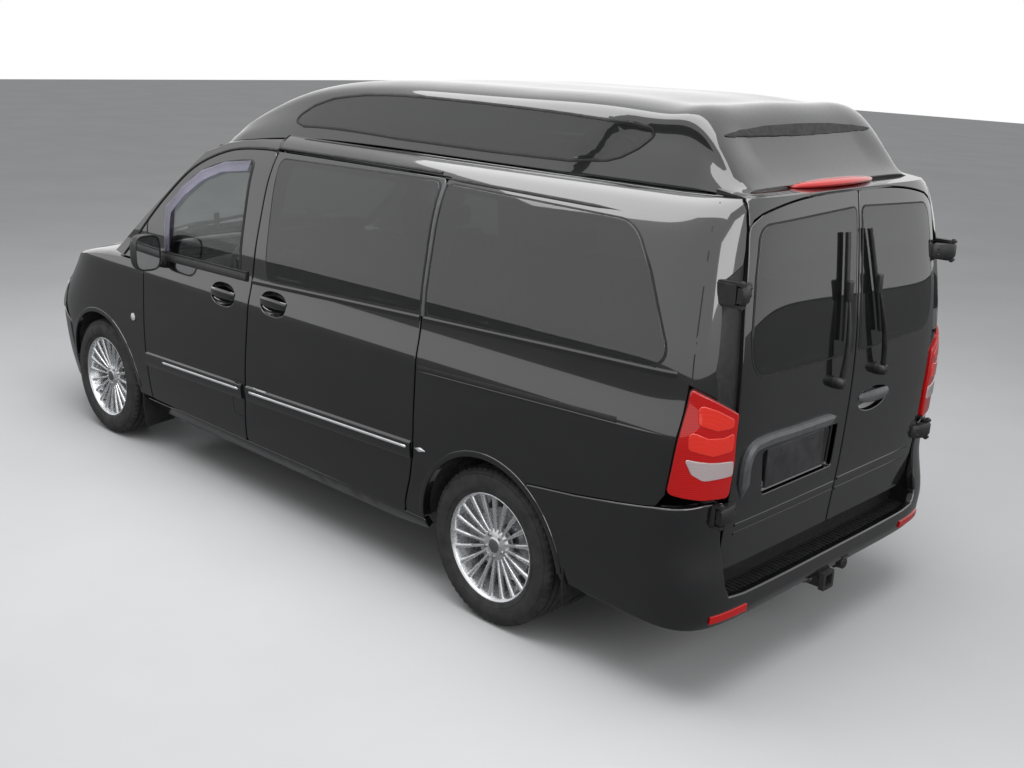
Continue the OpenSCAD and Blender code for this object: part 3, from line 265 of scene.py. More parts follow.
def inside(points, loops):
    hit = np.zeros(len(points), bool)
    px, py = points[:, :1], points[:, 1:]
    for loop in loops:
        a, b = loop, np.roll(loop, -1, 0)
        dy = b[:, 1] - a[:, 1]
        cross = (a[:, 1] > py) != (b[:, 1] > py)
        at = a[:, 0] + (py - a[:, 1]) * (b[:, 0] - a[:, 0]) / np.where(dy == 0, 1, dy)
        hit ^= (np.sum(cross & (px < at), 1) % 2).astype(bool)
    return hit


def panel(skin, outline, holes=(), step=.026, thick=.02, roll=.004, lift=0., sign=1, turns=3):
    """A closed sheet over an outline of the skin, with rolled edges and cut openings."""
    loops = [turned(spread(outline, step * .8), True)]
    loops += [turned(spread(h, step * .6), False) for h in holes]
    ins = [inwards(lp) for lp in loops]
    flat = [lp + m * roll for lp, m in zip(loops, ins)]
    lo, hi = flat[0].min(0), flat[0].max(0)
    gx, gy = np.meshgrid(np.arange(lo[0], hi[0], step), np.arange(lo[1], hi[1], step * .87))
    gx = gx + (np.arange(len(gx)) % 2)[:, None] * step * .5
    grid = np.stack([gx.ravel(), gy.ravel()], 1)
    grid = grid[inside(grid, flat)] if len(grid) else grid
    rim = np.concatenate(flat)
    if len(grid):
        near = np.concatenate([np.min(np.hypot(*(part[:, None] - rim[None]).transpose(2, 0, 1)), 1)
                               for part in np.array_split(grid, max(1, len(grid) // 1500))])
        grid = grid[near > step * .55]
    uv = np.concatenate([rim, grid])
    edges, at = [], 0
    for lp in loops:
        k = len(lp)
        edges += [(at + i, at + (i + 1) % k) for i in range(k)]
        at += k
    made = delaunay_2d_cdt([Vector(p) for p in uv], edges, [], 0, 1e-7)
    spots = np.array([tuple(p) for p in made[0]])
    back_to = {}
    for new, olds in enumerate(made[3]):
        for old in olds:
            back_to[old] = new
    tris = np.array([f for f in made[2] if len(f) == 3])
    keep = inside(spots[tris].mean(1), flat)
    tris = tris[keep]
    n_face = len(spots)
    normal, _, _ = facing(skin, spots, sign)
    front = skin(spots) + normal * lift
    points, normals = [front], [normal]
    faces = [tuple(t) if sign > 0 else tuple(t[::-1]) for t in tris]
    rim_ids = np.array([back_to[i] for i in range(len(rim))])
    last, size = rim_ids, n_face
    full = np.concatenate(loops)
    way = np.concatenate(ins)
    follow = []
    at = 0
    for lp in loops:
        follow += [at + (i + 1) % len(lp) for i in range(len(lp))]
        at += len(lp)
    follow = np.array(follow)

    def band(a, b):
        for i in range(len(full)):
            j = follow[i]
            quad = (a[i], b[i], b[j], a[j])
            faces.append(quad if sign > 0 else quad[::-1])
    for k in range(1, turns + 1):
        ang = pi / 2 * k / turns
        at_uv = rim - way * roll * sin(ang)
        nk, pu, pv = facing(skin, at_uv, sign)
        out = -(pu * way[:, :1] + pv * way[:, 1:])
        out /= np.linalg.norm(out, axis=1)[:, None]
        points.append(skin(at_uv) + nk * (lift - roll * (1 - cos(ang))))
        normals.append(nk * cos(ang) + out * sin(ang))
        ring = size + np.arange(len(full))
        band(last, ring)
        last, size = ring, size + len(full)
    outer = spots.copy()
    outer[rim_ids] = full
    nb, _, _ = facing(skin, outer, sign)
    points.append(skin(outer) + nb * (lift - thick))
    normals.append(np.full((n_face, 3), np.nan))
    band(last, size + rim_ids)
    first_inner = len(faces)
    faces += [tuple(size + t[::-1]) if sign > 0 else tuple(size + t) for t in tris]
    return [np.concatenate(points), faces, np.concatenate(normals), first_inner]


def outward(shell):
    """Turns a closed shell's faces outwards."""
    p, faces = shell[0], shell[1]
    volume = 0.
    mid = p.mean(0)
    for f in faces:
        a = p[f[0]] - mid
        for i in range(1, len(f) - 1):
            volume += a @ np.cross(p[f[i]] - mid, p[f[i + 1]] - mid)
    if volume < 0:
        shell[1] = [tuple(f[::-1]) for f in faces]
    return shell


def loft(rings, caps=True, loop=False):
    """A closed body through rings of the same number of points."""
    rings = [np.asarray(r, float) for r in rings]
    k, faces = len(rings[0]), []
    spans = len(rings) if loop else len(rings) - 1
    for r in range(spans):
        a, b = r * k, ((r + 1) % len(rings)) * k
        faces += [(a + i, a + (i + 1) % k, b + (i + 1) % k, b + i) for i in range(k)]
    if caps and not loop:
        faces += [tuple(range(k))[::-1], tuple((len(rings) - 1) * k + i for i in range(k))]
    p = np.concatenate(rings)
    return outward([p, faces, np.full((len(p), 3), np.nan), len(faces)])


def strip(skin, path, profile, sign=1, lift=0., closed=False, taper=0):
    """A moulding: the profile swept along a line of the skin, pointed at its ends by the taper."""
    path = np.asarray(path, float)
    n, _, _ = facing(skin, path, sign)
    p = skin(path) + n * lift
    if closed:
        t = np.roll(p, -1, 0) - np.roll(p, 1, 0)
    else:
        t = np.gradient(p, axis=0)
    t /= np.linalg.norm(t, axis=1)[:, None]
    b = np.cross(n, t)
    prof = np.asarray(profile, float)
    scale = np.ones(len(p))
    if taper:
        run = np.concatenate([[0], np.cumsum(np.linalg.norm(np.diff(p, axis=0), axis=1))])
        scale = np.clip(np.minimum(run, run[-1] - run) / taper, .06, 1)
    rings = [p[i] + b[i] * prof[:, :1] * scale[i] + n[i] * prof[:, 1:] * scale[i] for i in range(len(p))]
    return loft(rings, loop=closed)


def flat_bar(width, height, drop=.004, round_off=.4):
    """The profile of a low moulding, with eased shoulders."""
    w, r = width / 2, min(width, height) * round_off
    return [(-w, -drop), (-w, height - r), (-w + r * .35, height - r * .25), (-w + r, height),
            (w - r, height), (w - r * .35, height - r * .25), (w, height - r), (w, -drop)]


def tube(points, radius, sides=12, flat=1., closed=False):
    """A bar of round or flattened section along a line of points; the radius may change."""
    p = np.asarray(points, float)
    radii = np.broadcast_to(radius, (len(p),))
    t = (np.roll(p, -1, 0) - np.roll(p, 1, 0)) if closed else np.gradient(p, axis=0)
    t /= np.linalg.norm(t, axis=1)[:, None]
    side = np.cross(t[0], (0, 0, 1.) if abs(t[0][2]) < .9 else (0, 1., 0))
    rings = []
    for i in range(len(p)):
        side = side - t[i] * (side @ t[i])
        side /= np.linalg.norm(side)
        up = np.cross(side, t[i])
        a = np.arange(sides) * 2 * pi / sides
        rings.append(p[i] + radii[i] * (np.cos(a)[:, None] * side + flat * np.sin(a)[:, None] * up))
    return loft(rings, loop=closed)


def lathe(profile, centre, axis=(0, 1, 0), segments=64):
    """A turned body: a closed profile of (radius, along the axis) points."""
    axis = np.array(axis, float)
    one = np.cross(axis, (0, 0, 1.) if abs(axis[2]) < .9 else (1., 0, 0))
    one /= np.linalg.norm(one)
    two = np.cross(axis, one)
    prof = np.asarray(profile, float)
    rings = []
    for i in range(segments):
        a = 2 * pi * i / segments
        d = one * cos(a) + two * sin(a)
        rings.append(np.asarray(centre) + prof[:, :1] * d + prof[:, 1:] * axis)
    return loft(rings, loop=True)


def block(low, high, edge=.006, rows=3):
    """A block with rounded edges."""
    bm = bmesh.new()
    bmesh.ops.create_cube(bm, size=1)
    low, high = np.minimum(low, high), np.maximum(low, high)
    for v in bm.verts:
        v.co = Vector([(low[i] + high[i]) / 2 + v.co[i] * (high[i] - low[i]) for i in range(3)])
    edge = min(edge, .45 * float(np.min(high - low)))
    bmesh.ops.bevel(bm, geom=bm.edges[:], offset=edge, segments=rows, affect="EDGES", profile=.5)
    return from_bmesh(bm)


def from_bmesh(bm):
    bm.verts.index_update()
    p = np.array([v.co[:] for v in bm.verts])
    faces = [tuple(v.index for v in f.verts) for f in bm.faces]
    bm.free()
    return outward([p, faces, np.full((len(p), 3), np.nan), len(faces)])


def mirrored(shell):
    p, faces, n, first = shell
    flip = np.array([1, -1, 1])
    return [p * flip, [tuple(f[::-1]) for f in faces], n * flip, first]


def moved(shell, matrix):
    m = np.array(matrix)
    p, faces, n, first = shell
    turn = m[:3, :3]
    faces = faces if np.linalg.det(turn) > 0 else [tuple(f[::-1]) for f in faces]
    return [p @ turn.T + m[:3, 3], faces, n @ turn.T, first]


class Piece:
    """Gathers the shells of one piece, each with its own finish, into one mesh."""

    def __init__(self, name):
        self.name, self.count = name, 0
        self.points, self.normals, self.faces, self.index, self.finishes = [], [], [], [], []

    def add(self, shell, finish, lining=None):
        p, faces, n, first = shell
        self.points.append(p)
        self.normals.append(n)
        self.faces += [tuple(int(i) + self.count for i in f) for f in faces]
        self.count += len(p)
        rows = [finish] * first + [lining or finish] * (len(faces) - first)
        for name in rows:
            if name not in self.finishes:
                self.finishes.append(name)
            self.index.append(self.finishes.index(name))
        return self

    def both(self, shell, finish, lining=None):
        self.add(shell, finish, lining)
        return self.add(mirrored(shell), finish, lining)

    def make(self, body, slot, *nodes):
        mesh = bpy.data.meshes.new(self.name)
        mesh.from_pydata(np.concatenate(self.points).tolist(), [], self.faces)
        for name in self.finishes:
            mesh.materials.append(finish_of(name))
        mesh.polygons.foreach_set("material_index", self.index)
        mesh.polygons.foreach_set("use_smooth", [True] * len(mesh.polygons))
        mesh.update()
        mesh.set_sharp_from_angle(angle=radians(40))
        corners = np.empty(len(mesh.loops) * 3, np.float32)
        mesh.corner_normals.foreach_get("vector", corners)
        corners = corners.reshape(-1, 3)
        ids = np.empty(len(mesh.loops), np.int32)
        mesh.loops.foreach_get("vertex_index", ids)
        given = np.concatenate(self.normals)[ids]
        known = ~np.isnan(given[:, 0])
        corners[known] = given[known]
        mesh.normals_split_custom_set(corners.tolist())
        obj = bpy.data.objects.new(self.name, mesh)
        bpy.context.scene.collection.objects.link(obj)
        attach(obj, body)
        if nodes:
            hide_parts(*nodes)
        return obj


# Finishes.
FINISHES = {}


def finish_of(name):
    if name not in FINISHES:
        FINISHES[name] = RECIPES[name](name)
    return FINISHES[name]


class Recipe:
    """One finish: a shader with patterns on object coordinates."""

    def __init__(self, name, colour, rough, metal=0., coat=0., **more):
        self.mat = bpy.data.materials.new(name)
        self.mat.use_nodes = True
        self.tree = self.mat.node_tree
        self.shader = self.tree.nodes["Principled BSDF"]
        self.colour, self.rough = colour, rough
        put = self.shader.inputs
        put["Base Color"].default_value = (*colour, 1)
        put["Roughness"].default_value = rough
        put["Metallic"].default_value = metal
        put["Coat Weight"].default_value = coat
        put["Coat Roughness"].default_value = .03
        for key, value in more.items():
            put[key.replace("_", " ")].default_value = value
        self.where = self.node("ShaderNodeTexCoord").outputs["Object"]

    def node(self, kind, **settings):
        n = self.tree.nodes.new(kind)
        for key, value in settings.items():
            setattr(n, key, value)
        return n

    def link(self, a, b):
        self.tree.links.new(a, b)

    def noise(self, scale, detail=3., stretch=None, rough=.55):
        n = self.node("ShaderNodeTexNoise")
        n.inputs["Scale"].default_value = scale
        n.inputs["Detail"].default_value = detail
        n.inputs["Roughness"].default_value = rough
        self.link(self.spot(stretch), n.inputs["Vector"])
        return n.outputs["Fac"]

    def spot(self, stretch):
        if not stretch:
            return self.where
        m = self.node("ShaderNodeMapping")
        m.inputs["Scale"].default_value = stretch
        self.link(self.where, m.inputs["Vector"])
        return m.outputs["Vector"]

    def cells(self, scale, stretch=None, feature="F1"):
        n = self.node("ShaderNodeTexVoronoi", feature=feature)
        n.inputs["Scale"].default_value = scale
        self.link(self.spot(stretch), n.inputs["Vector"])
        return n.outputs["Distance"]

    def waves(self, scale, direction="X", stretch=None, twist=0.):
        n = self.node("ShaderNodeTexWave", bands_direction=direction)
        n.inputs["Scale"].default_value = scale
        n.inputs["Distortion"].default_value = twist
        self.link(self.spot(stretch), n.inputs["Vector"])
        return n.outputs["Fac"]

    def ramp(self, value, low, high, start=.35, end=.65):
        n = self.node("ShaderNodeMapRange")
        n.inputs["From Min"].default_value = start
        n.inputs["From Max"].default_value = end
        n.inputs["To Min"].default_value = low
        n.inputs["To Max"].default_value = high
        self.link(value, n.inputs["Value"])
        return n.outputs["Result"]

    def tint(self, value, one, two, start=.35, end=.65):
        n = self.node("ShaderNodeMix", data_type="RGBA")
        n.inputs["A"].default_value = (*one, 1)
        n.inputs["B"].default_value = (*two, 1)
        self.link(self.ramp(value, 0, 1, start, end), n.inputs["Factor"])
        self.link(n.outputs["Result"], self.shader.inputs["Base Color"])
        return self

    def gloss(self, value, low, high, start=.35, end=.65):
        self.link(self.ramp(value, low, high, start, end), self.shader.inputs["Roughness"])
        return self

    def bump(self, value, strength, depth=.001):
        n = self.node("ShaderNodeBump")
        n.inputs["Strength"].default_value = strength
        n.inputs["Distance"].default_value = depth
        self.link(value, n.inputs["Height"])
        last = self.shader.inputs["Normal"]
        if last.is_linked:
            self.link(last.links[0].from_socket, n.inputs["Normal"])
        self.link(n.outputs["Normal"], last)
        return self


def looks():
    return bpy.context.scene.van_looks


def gloss_paint(name):
    c = tuple(looks().paint)
    r = Recipe(name, c, .2, coat=1., Specular_IOR_Level=.2, Coat_IOR=1.85)
    r.tint(r.noise(900, 1), c, tuple(v * 1.6 + .002 for v in c))
    r.gloss(r.noise(3.2, 4), .16, .26)
    return r.mat


def roof_shell(name):
    c = tuple(looks().paint)
    r = Recipe(name, c, .2, coat=1., Specular_IOR_Level=.12, Coat_IOR=1.85)
    r.tint(r.noise(700, 1), c, tuple(v * 1.8 + .002 for v in c))
    r.gloss(r.noise(2.1, 5), .2, .34)
    r.bump(r.noise(9, 2), .04, .004)
    return r.mat


def privacy_glass(name):
    c = tuple(looks().privacy)
    r = Recipe(name, c, .015, Transmission_Weight=.9, IOR=1.72)
    r.tint(r.noise(1.4, 2), c, tuple(v * 1.25 for v in c))
    r.gloss(r.noise(5, 3), .008, .03)
    return r.mat


def clear_glass(name):
    r = Recipe(name, (.62, .66, .65), .01, Transmission_Weight=1., IOR=1.45)
    r.tint(r.noise(1.8, 2), (.6, .64, .63), (.68, .71, .7))
    r.gloss(r.noise(6, 3), .005, .025)
    return r.mat


def smoke_acrylic(name):
    c = tuple(looks().deflector)
    r = Recipe(name, c, .05, Transmission_Weight=.85, IOR=1.49)
    r.tint(r.noise(3, 2), c, tuple(min(1, v * 1.35) for v in c))
    r.gloss(r.noise(14, 3), .04, .1)
    return r.mat


def black_trim(name):
    r = Recipe(name, (.012, .012, .013), .42)
    r.tint(r.noise(35, 4), (.010, .010, .011), (.018, .018, .019))
    r.gloss(r.noise(60, 3), .36, .52)
    r.bump(r.cells(900), .18, .0006)
    return r.mat


def rubber_seal(name):
    r = Recipe(name, (.008, .008, .008), .6)
    r.tint(r.noise(20, 4), (.006, .006, .006), (.014, .014, .014))
    r.gloss(r.noise(45, 3), .5, .72)
    r.bump(r.noise(500, 2), .1, .0004)
    return r.mat


def grey_plastic(name):
    r = Recipe(name, (.075, .078, .082), .4)
    r.tint(r.noise(30, 4), (.066, .069, .073), (.09, .093, .098))
    r.gloss(r.noise(50, 3), .34, .48)
    r.bump(r.cells(1100), .14, .0005)
    return r.mat


def tyre_rubber(name):
    r = Recipe(name, (.02, .02, .021), .72)
    r.tint(r.noise(14, 5), (.015, .015, .016), (.034, .033, .032))
    r.gloss(r.noise(26, 4), .62, .84)
    r.bump(r.noise(420, 2), .16, .0008)
    return r.mat


def bright_alloy(name):
    c = tuple(looks().alloy)
    r = Recipe(name, c, .26, metal=.75, coat=.4)
    r.tint(r.noise(18, 4), c, tuple(v * .93 for v in c))
    r.gloss(r.noise(70, 4), .2, .34)
    r.bump(r.noise(900, 1), .01, .0004)
    return r.mat


def bright_strip(name):
    r = Recipe(name, (.78, .79, .8), .08, metal=.6)
    r.tint(r.noise(25, 3), (.74, .75, .77), (.83, .84, .85))
    r.gloss(r.noise(55, 4), .05, .16)
    return r.mat


def brushed_steel(name):
    r = Recipe(name, (.42, .43, .44), .34, metal=1.)
    r.tint(r.noise(40, 4, (1, 12, 1)), (.36, .37, .38), (.5, .51, .52))
    r.gloss(r.noise(60, 4, (1, 14, 1)), .26, .46)
    return r.mat


def cast_iron(name):
    r = Recipe(name, (.09, .088, .085), .6, metal=.8)
    r.tint(r.noise(22, 5), (.07, .067, .064), (.13, .125, .118))
    r.gloss(r.noise(40, 4), .5, .72)
    r.bump(r.noise(260, 4), .3, .0012)
    return r.mat


def underbody_coat(name):
    r = Recipe(name, (.016, .016, .017), .62)
    r.tint(r.noise(12, 5), (.012, .012, .013), (.03, .029, .028))
    r.gloss(r.noise(30, 4), .52, .78)
    r.bump(r.cells(320), .3, .0014)
    return r.mat


def ruby_lens(name):
    c = tuple(looks().lens_red)
    r = Recipe(name, c, .12, coat=1., Specular_IOR_Level=.1)
    r.tint(r.waves(46, "Z"), c, tuple(v * .7 for v in c))
    r.gloss(r.noise(20, 2), .03, .08)
    return r.mat


# Painted glint: a brighter orange-red than the lens, for the light patches caught inside the tail lamps.
def ember_lens(name):
    r = Recipe(name, (.72, .035, .022), .1, coat=1., Specular_IOR_Level=.1)
    r.tint(r.waves(70, "Z"), (.8, .05, .028), (.66, .02, .015))
    r.gloss(r.noise(20, 2), .03, .08)
    return r.mat


def clear_lens(name):
    r = Recipe(name, (.82, .83, .84), .05, coat=1., Transmission_Weight=.55, IOR=1.46)
    r.tint(r.waves(60, "Z"), (.86, .87, .88), (.7, .71, .73))
    r.gloss(r.noise(16, 2), .03, .09)
    return r.mat


def mirror_silver(name):
    r = Recipe(name, (.82, .83, .84), .04, metal=1.)
    r.tint(r.noise(12, 2), (.8, .81, .82), (.86, .87, .88))
    r.gloss(r.noise(9, 3), .02, .06)
    return r.mat


def seat_cloth(name):
    c = tuple(looks().cloth)
    r = Recipe(name, c, .9, Sheen_Weight=.3)
    r.tint(r.noise(60, 4), tuple(v * .8 for v in c), tuple(v * 1.35 for v in c))
    r.gloss(r.noise(120, 3), .82, .96)
    r.bump(r.waves(420, "DIAGONAL"), .22, .0007)
    r.bump(r.noise(900, 2), .2, .0006)
    return r.mat


def cabin_trim(name):
    r = Recipe(name, (.03, .03, .032), .66)
    r.tint(r.noise(16, 4), (.026, .026, .028), (.042, .042, .044))
    r.gloss(r.noise(40, 3), .58, .76)
    r.bump(r.cells(600), .24, .0008)
    return r.mat


def headlining(name):
    r = Recipe(name, (.3, .3, .29), .92, Sheen_Weight=.2)
    r.tint(r.noise(80, 4), (.27, .27, .26), (.34, .34, .33))
    r.gloss(r.noise(90, 3), .86, .97)
    r.bump(r.noise(700, 3), .25, .0008)
    return r.mat


def floor_carpet(name):
    r = Recipe(name, (.028, .028, .03), .95, Sheen_Weight=.25)
    r.tint(r.noise(90, 5), (.02, .02, .022), (.05, .05, .052))
    r.gloss(r.noise(70, 3), .88, .99)
    r.bump(r.noise(800, 3), .5, .002)
    return r.mat


def plate_enamel(name):
    r = Recipe(name, (.03, .03, .032), .35)
    r.tint(r.noise(18, 4), (.024, .024, .026), (.042, .042, .045))
    r.gloss(r.noise(40, 3), .28, .42)
    return r.mat


def amber_marker(name):
    r = Recipe(name, (.85, .84, .8), .08, coat=1., Transmission_Weight=.3, IOR=1.46)
    r.tint(r.waves(160, "X"), (.9, .89, .86), (.72, .71, .67))
    r.gloss(r.noise(30, 2), .05, .12)
    return r.mat


# Painted reflection: a dim grey glow, seen only in reflections, that stands in for a dark floor and wall in
# what the paint and glass reflect.
def dado_cloth(name):
    r = Recipe(name, (.02, .02, .021), .9, Emission_Strength=1.)
    r.tint(r.noise(1.2, 3), (.018, .018, .019), (.024, .024, .025))
    r.gloss(r.noise(3, 3), .85, .95)
    r.shader.inputs["Emission Color"].default_value = (.115, .116, .119, 1)
    return r.mat


def studio_floor(name):
    c = tuple(looks().floor)
    r = Recipe(name, c, .6, Specular_IOR_Level=0.)
    r.tint(r.noise(.8, 5), tuple(v * .97 for v in c), tuple(v * 1.02 for v in c))
    r.gloss(r.noise(2.5, 4), .5, .7)
    return r.mat


RECIPES = {f.__name__: f for f in (
    gloss_paint, roof_shell, privacy_glass, clear_glass, smoke_acrylic, black_trim, rubber_seal,
    grey_plastic, tyre_rubber, bright_alloy, bright_strip, brushed_steel, cast_iron, underbody_coat,
    ruby_lens, ember_lens, clear_lens, mirror_silver, seat_cloth, cabin_trim, headlining, floor_carpet,
    dado_cloth,
    plate_enamel, amber_marker, studio_floor)}


# Repeated parts.
def shell_mesh(name, shell):
    mesh = bpy.data.meshes.new(name)
    mesh.from_pydata(shell[0].tolist(), [], [tuple(int(i) for i in f) for f in shell[1]])
    mesh.update()
    return mesh


def mesh_shell(mesh):
    points = np.empty(len(mesh.vertices) * 3)
    mesh.vertices.foreach_get("co", points)
    faces = [tuple(f.vertices) for f in mesh.polygons]
    points = points.reshape(-1, 3)
    return [points, faces, np.full((len(points), 3), np.nan), len(faces)]


def new_tree(name, sockets):
    tree = bpy.data.node_groups.new(name, "GeometryNodeTree")
    tree.interface.new_socket("Geometry", in_out="INPUT", socket_type="NodeSocketGeometry")
    ids = {}
    for label, kind in sockets:
        ids[label] = tree.interface.new_socket(label, in_out="INPUT", socket_type=kind).identifier
    tree.interface.new_socket("Geometry", in_out="OUTPUT", socket_type="NodeSocketGeometry")
    return tree, ids, tree.nodes.new("NodeGroupInput"), tree.nodes.new("NodeGroupOutput")


def run_tree(name, tree, carrier, values, helpers):
    """Evaluates a tree on a carrier mesh and gives back the realised shell."""
    obj = bpy.data.objects.new(name, carrier)
    bpy.context.scene.collection.objects.link(obj)
    mod = obj.modifiers.new(name, "NODES")
    mod.node_group = tree
    for key, value in values.items():
        mod[key] = value
    view = bpy.context.evaluated_depsgraph_get()
    mesh = bpy.data.meshes.new_from_object(obj.evaluated_get(view))
    obj.modifiers.remove(mod)
    shell = mesh_shell(mesh)
    for extra in [obj] + helpers:
        bpy.data.objects.remove(extra, do_unlink=True)
    bpy.data.meshes.remove(mesh)
    return shell


def copies_on(name, carrier, shell, finish="black_trim"):
    """One copy of a part on each point of the carrier."""
    part = bpy.data.objects.new(name + "_part", shell_mesh(name + "_part", shell))
    bpy.context.scene.collection.objects.link(part)
    tree, ids, enter, leave = new_tree(name, [("Part", "NodeSocketObject"), ("Size", "NodeSocketFloat")])
    info = tree.nodes.new("GeometryNodeObjectInfo")
    place = tree.nodes.new("GeometryNodeInstanceOnPoints")
    solid = tree.nodes.new("GeometryNodeRealizeInstances")
    cover = tree.nodes.new("GeometryNodeSetMaterial")
    cover.inputs["Material"].default_value = finish_of(finish)
    tree.links.new(enter.outputs["Part"], info.inputs["Object"])
    tree.links.new(enter.outputs["Geometry"], place.inputs["Points"])
    tree.links.new(info.outputs["Geometry"], place.inputs["Instance"])
    tree.links.new(enter.outputs["Size"], place.inputs["Scale"])
    tree.links.new(place.outputs["Instances"], solid.inputs["Geometry"])
    tree.links.new(solid.outputs["Geometry"], cover.inputs["Geometry"])
    tree.links.new(cover.outputs["Geometry"], leave.inputs["Geometry"])
    return run_tree(name, tree, carrier, {ids["Part"]: part, ids["Size"]: 1.}, [part])


def copies_round(name, count, shell, finish, start=0.):
    """Copies of a part turned about the Y axis, evenly spaced."""
    part = bpy.data.objects.new(name + "_part", shell_mesh(name + "_part", shell))
    bpy.context.scene.collection.objects.link(part)
    tree, ids, enter, leave = new_tree(name, [("Part", "NodeSocketObject"), ("Count", "NodeSocketInt"),
                                              ("Start", "NodeSocketFloat")])
    info = tree.nodes.new("GeometryNodeObjectInfo")
    points = tree.nodes.new("GeometryNodePoints")
    index = tree.nodes.new("GeometryNodeInputIndex")
    share = tree.nodes.new("ShaderNodeMath")
    share.operation = "DIVIDE"
    angle = tree.nodes.new("ShaderNodeMath")
    angle.operation = "MULTIPLY_ADD"
    angle.inputs[1].default_value = 2 * pi
    turn = tree.nodes.new("ShaderNodeCombineXYZ")
    place = tree.nodes.new("GeometryNodeInstanceOnPoints")
    solid = tree.nodes.new("GeometryNodeRealizeInstances")
    cover = tree.nodes.new("GeometryNodeSetMaterial")
    cover.inputs["Material"].default_value = finish_of(finish)
    tree.links.new(enter.outputs["Part"], info.inputs["Object"])
    tree.links.new(enter.outputs["Count"], points.inputs["Count"])
    tree.links.new(index.outputs["Index"], share.inputs[0])
    tree.links.new(enter.outputs["Count"], share.inputs[1])
    tree.links.new(share.outputs[0], angle.inputs[0])
    tree.links.new(enter.outputs["Start"], angle.inputs[2])
    tree.links.new(angle.outputs[0], turn.inputs["Y"])
    tree.links.new(points.outputs["Points"], place.inputs["Points"])
    tree.links.new(info.outputs["Geometry"], place.inputs["Instance"])
    tree.links.new(turn.outputs["Vector"], place.inputs["Rotation"])
    tree.links.new(place.outputs["Instances"], solid.inputs["Geometry"])
    tree.links.new(solid.outputs["Geometry"], cover.inputs["Geometry"])
    tree.links.new(cover.outputs["Geometry"], leave.inputs["Geometry"])
    carrier = bpy.data.meshes.new(name + "_carrier")
    return run_tree(name, tree, carrier, {ids["Part"]: part, ids["Count"]: count, ids["Start"]: start},
                    [part])


# Body sides and doors.
GLASS_TRIM = [(-.009, -.006), (-.009, .0015), (-.004, .004), (.004, .004), (.009, .0015), (.009, -.006)]


def door_seam(z):
    """The seam between the front and sliding doors leans back as it goes down."""
    return np.interp(z, [.3, .394, .625, 1.16, 1.761, 1.8], [.226, .216, .18, .149, .114, .111])


door_top = curve_through([(-.1, 1.789), (.2, 1.788), (.36, 1.778), (.483, 1.76), (.633, 1.713), (.806, 1.625),
                          (.93, 1.53), (1.047, 1.428), (DOOR_FRONT, 1.33), (1.3, 1.185)])


def slide_rear(z):
    """The sliding door's rear edge sweeps forward over the wheel arch."""
    return np.interp(z, [.33, .39, .44, .52, .62, .72, 1.8],
                     [-1.010, -1.014, -1.032, -1.06, -1.08, SLIDE_REAR,
                                                            SLIDE_REAR + .012])


def line(function, start, stop, count, other=False):
    t = np.linspace(start, stop, count)
    return [(float(function(v)), float(v)) if other else (float(v), float(function(v))) for v in t]


def front_door_outline():
    low = SILL + .008
    return ([(DOOR_FRONT, low), (DOOR_FRONT, 1.327)] + line(door_top, 1.13, .16, 24)
            + [(float(door_seam(1.78)) + .005, 1.787)]
            + [(float(door_seam(z)) + .005, z) for z in (1.7, 1.5, 1.16, .9, .625, .5, .394, low)])


FRONT_GLASS = [(.941, 1.168), (.968, 1.425), (.9, 1.487), (.833, 1.54), (.76, 1.592), (.681, 1.637),
               (.58, 1.674),
               (.479, 1.699), (.37, 1.716), (.274, 1.725), (.262, 1.183)]
FRONT_GLASS_R = [.02, .03, .1, .1, .1, .1, .1, .1, .1, .022, .02]
SLIDE_GLASS = [(.034, 1.199), (.062, 1.758), (-1.046, 1.776), (-1.068, 1.25)]
QUARTER_GLASS = [(-1.105, 1.248), (-1.092, 1.772), (-2.09, 1.752), (-2.2, 1.6), (-2.335, 1.29)]
ARCH = {"front": (1.675, .342, .39), "rear": (-1.522, .342, .392)}


def shrink(loop, by):
    loop = turned(spread(loop, .03), True)
    return loop + inwards(loop) * by


def arch_line(which, start, stop, count=26):
    x, z, r = ARCH[which]
    return [(x + r * cos(radians(a)), z + r * sin(radians(a))) for a in np.linspace(start, stop, count)]


def pane(skin, loop, finish, piece, sign=-1, lift=.0015, thick=.006):
    piece.add(panel(skin, loop, step=.05, thick=thick, roll=.002, lift=lift, sign=sign), finish)


def handle(piece, x, z, skin=None, sign=-1, body="gloss_paint"):
    """An oval recess with a grab bar across it."""
    skin = skin or side_skin
    ring = [(x + .1 * np.sign(cos(a)) * abs(cos(a)) ** .8, z + .054 * np.sign(sin(a)) * abs(sin(a)) ** .85)
            for a in np.linspace(0, 2 * pi, 44, endpoint=False)]
    bowl = []
    for share, depth in ((1., .0), (.97, .008), (.9, .02), (.72, .031), (.4, .036), (.02, .037)):
        uv = np.array([(x + (p[0] - x) * share, z + (p[1] - z) * share) for p in ring])
        n, _, _ = facing(skin, uv, sign)
        bowl.append(skin(uv) - n * (depth + .003))
    back = [b + (bowl[0].mean(0) - bowl[0].mean(0)) - facing(skin, np.array([(x, z)]), sign)[0] * .006
            for b in bowl[::-1]]
    piece.add(loft(bowl + back, caps=False, loop=True), "gloss_paint")
    path = np.array([(x - .104 + .208 * t, z + .004) for t in np.linspace(0, 1, 15)])
    n, _, _ = facing(skin, path, sign)
    base = skin(path)
    up = np.array([0, 0, 1.])
    rings = []
    for i, t in enumerate(np.linspace(0, 1, 15)):
        rise = -.006 + .016 * sin(pi * t) ** .5
        tall = .02 + .004 * sin(pi * t)
        ring_i = []
        for a in np.linspace(0, 2 * pi, 14, endpoint=False):
            ring_i.append(base[i] + n[i] * (rise + .009 * sin(a)) + up * tall * np.sign(cos(a))
                          * abs(cos(a)) ** .6)
        rings.append(ring_i)
    piece.add(loft(rings), body)
    return ring


def grip_line(x, z):
    return [(x + .102 * np.sign(cos(a)) * abs(cos(a)) ** .8, z + .056 * np.sign(sin(a)) * abs(sin(a)) ** .85)
            for a in np.linspace(0, 2 * pi, 44, endpoint=False)]


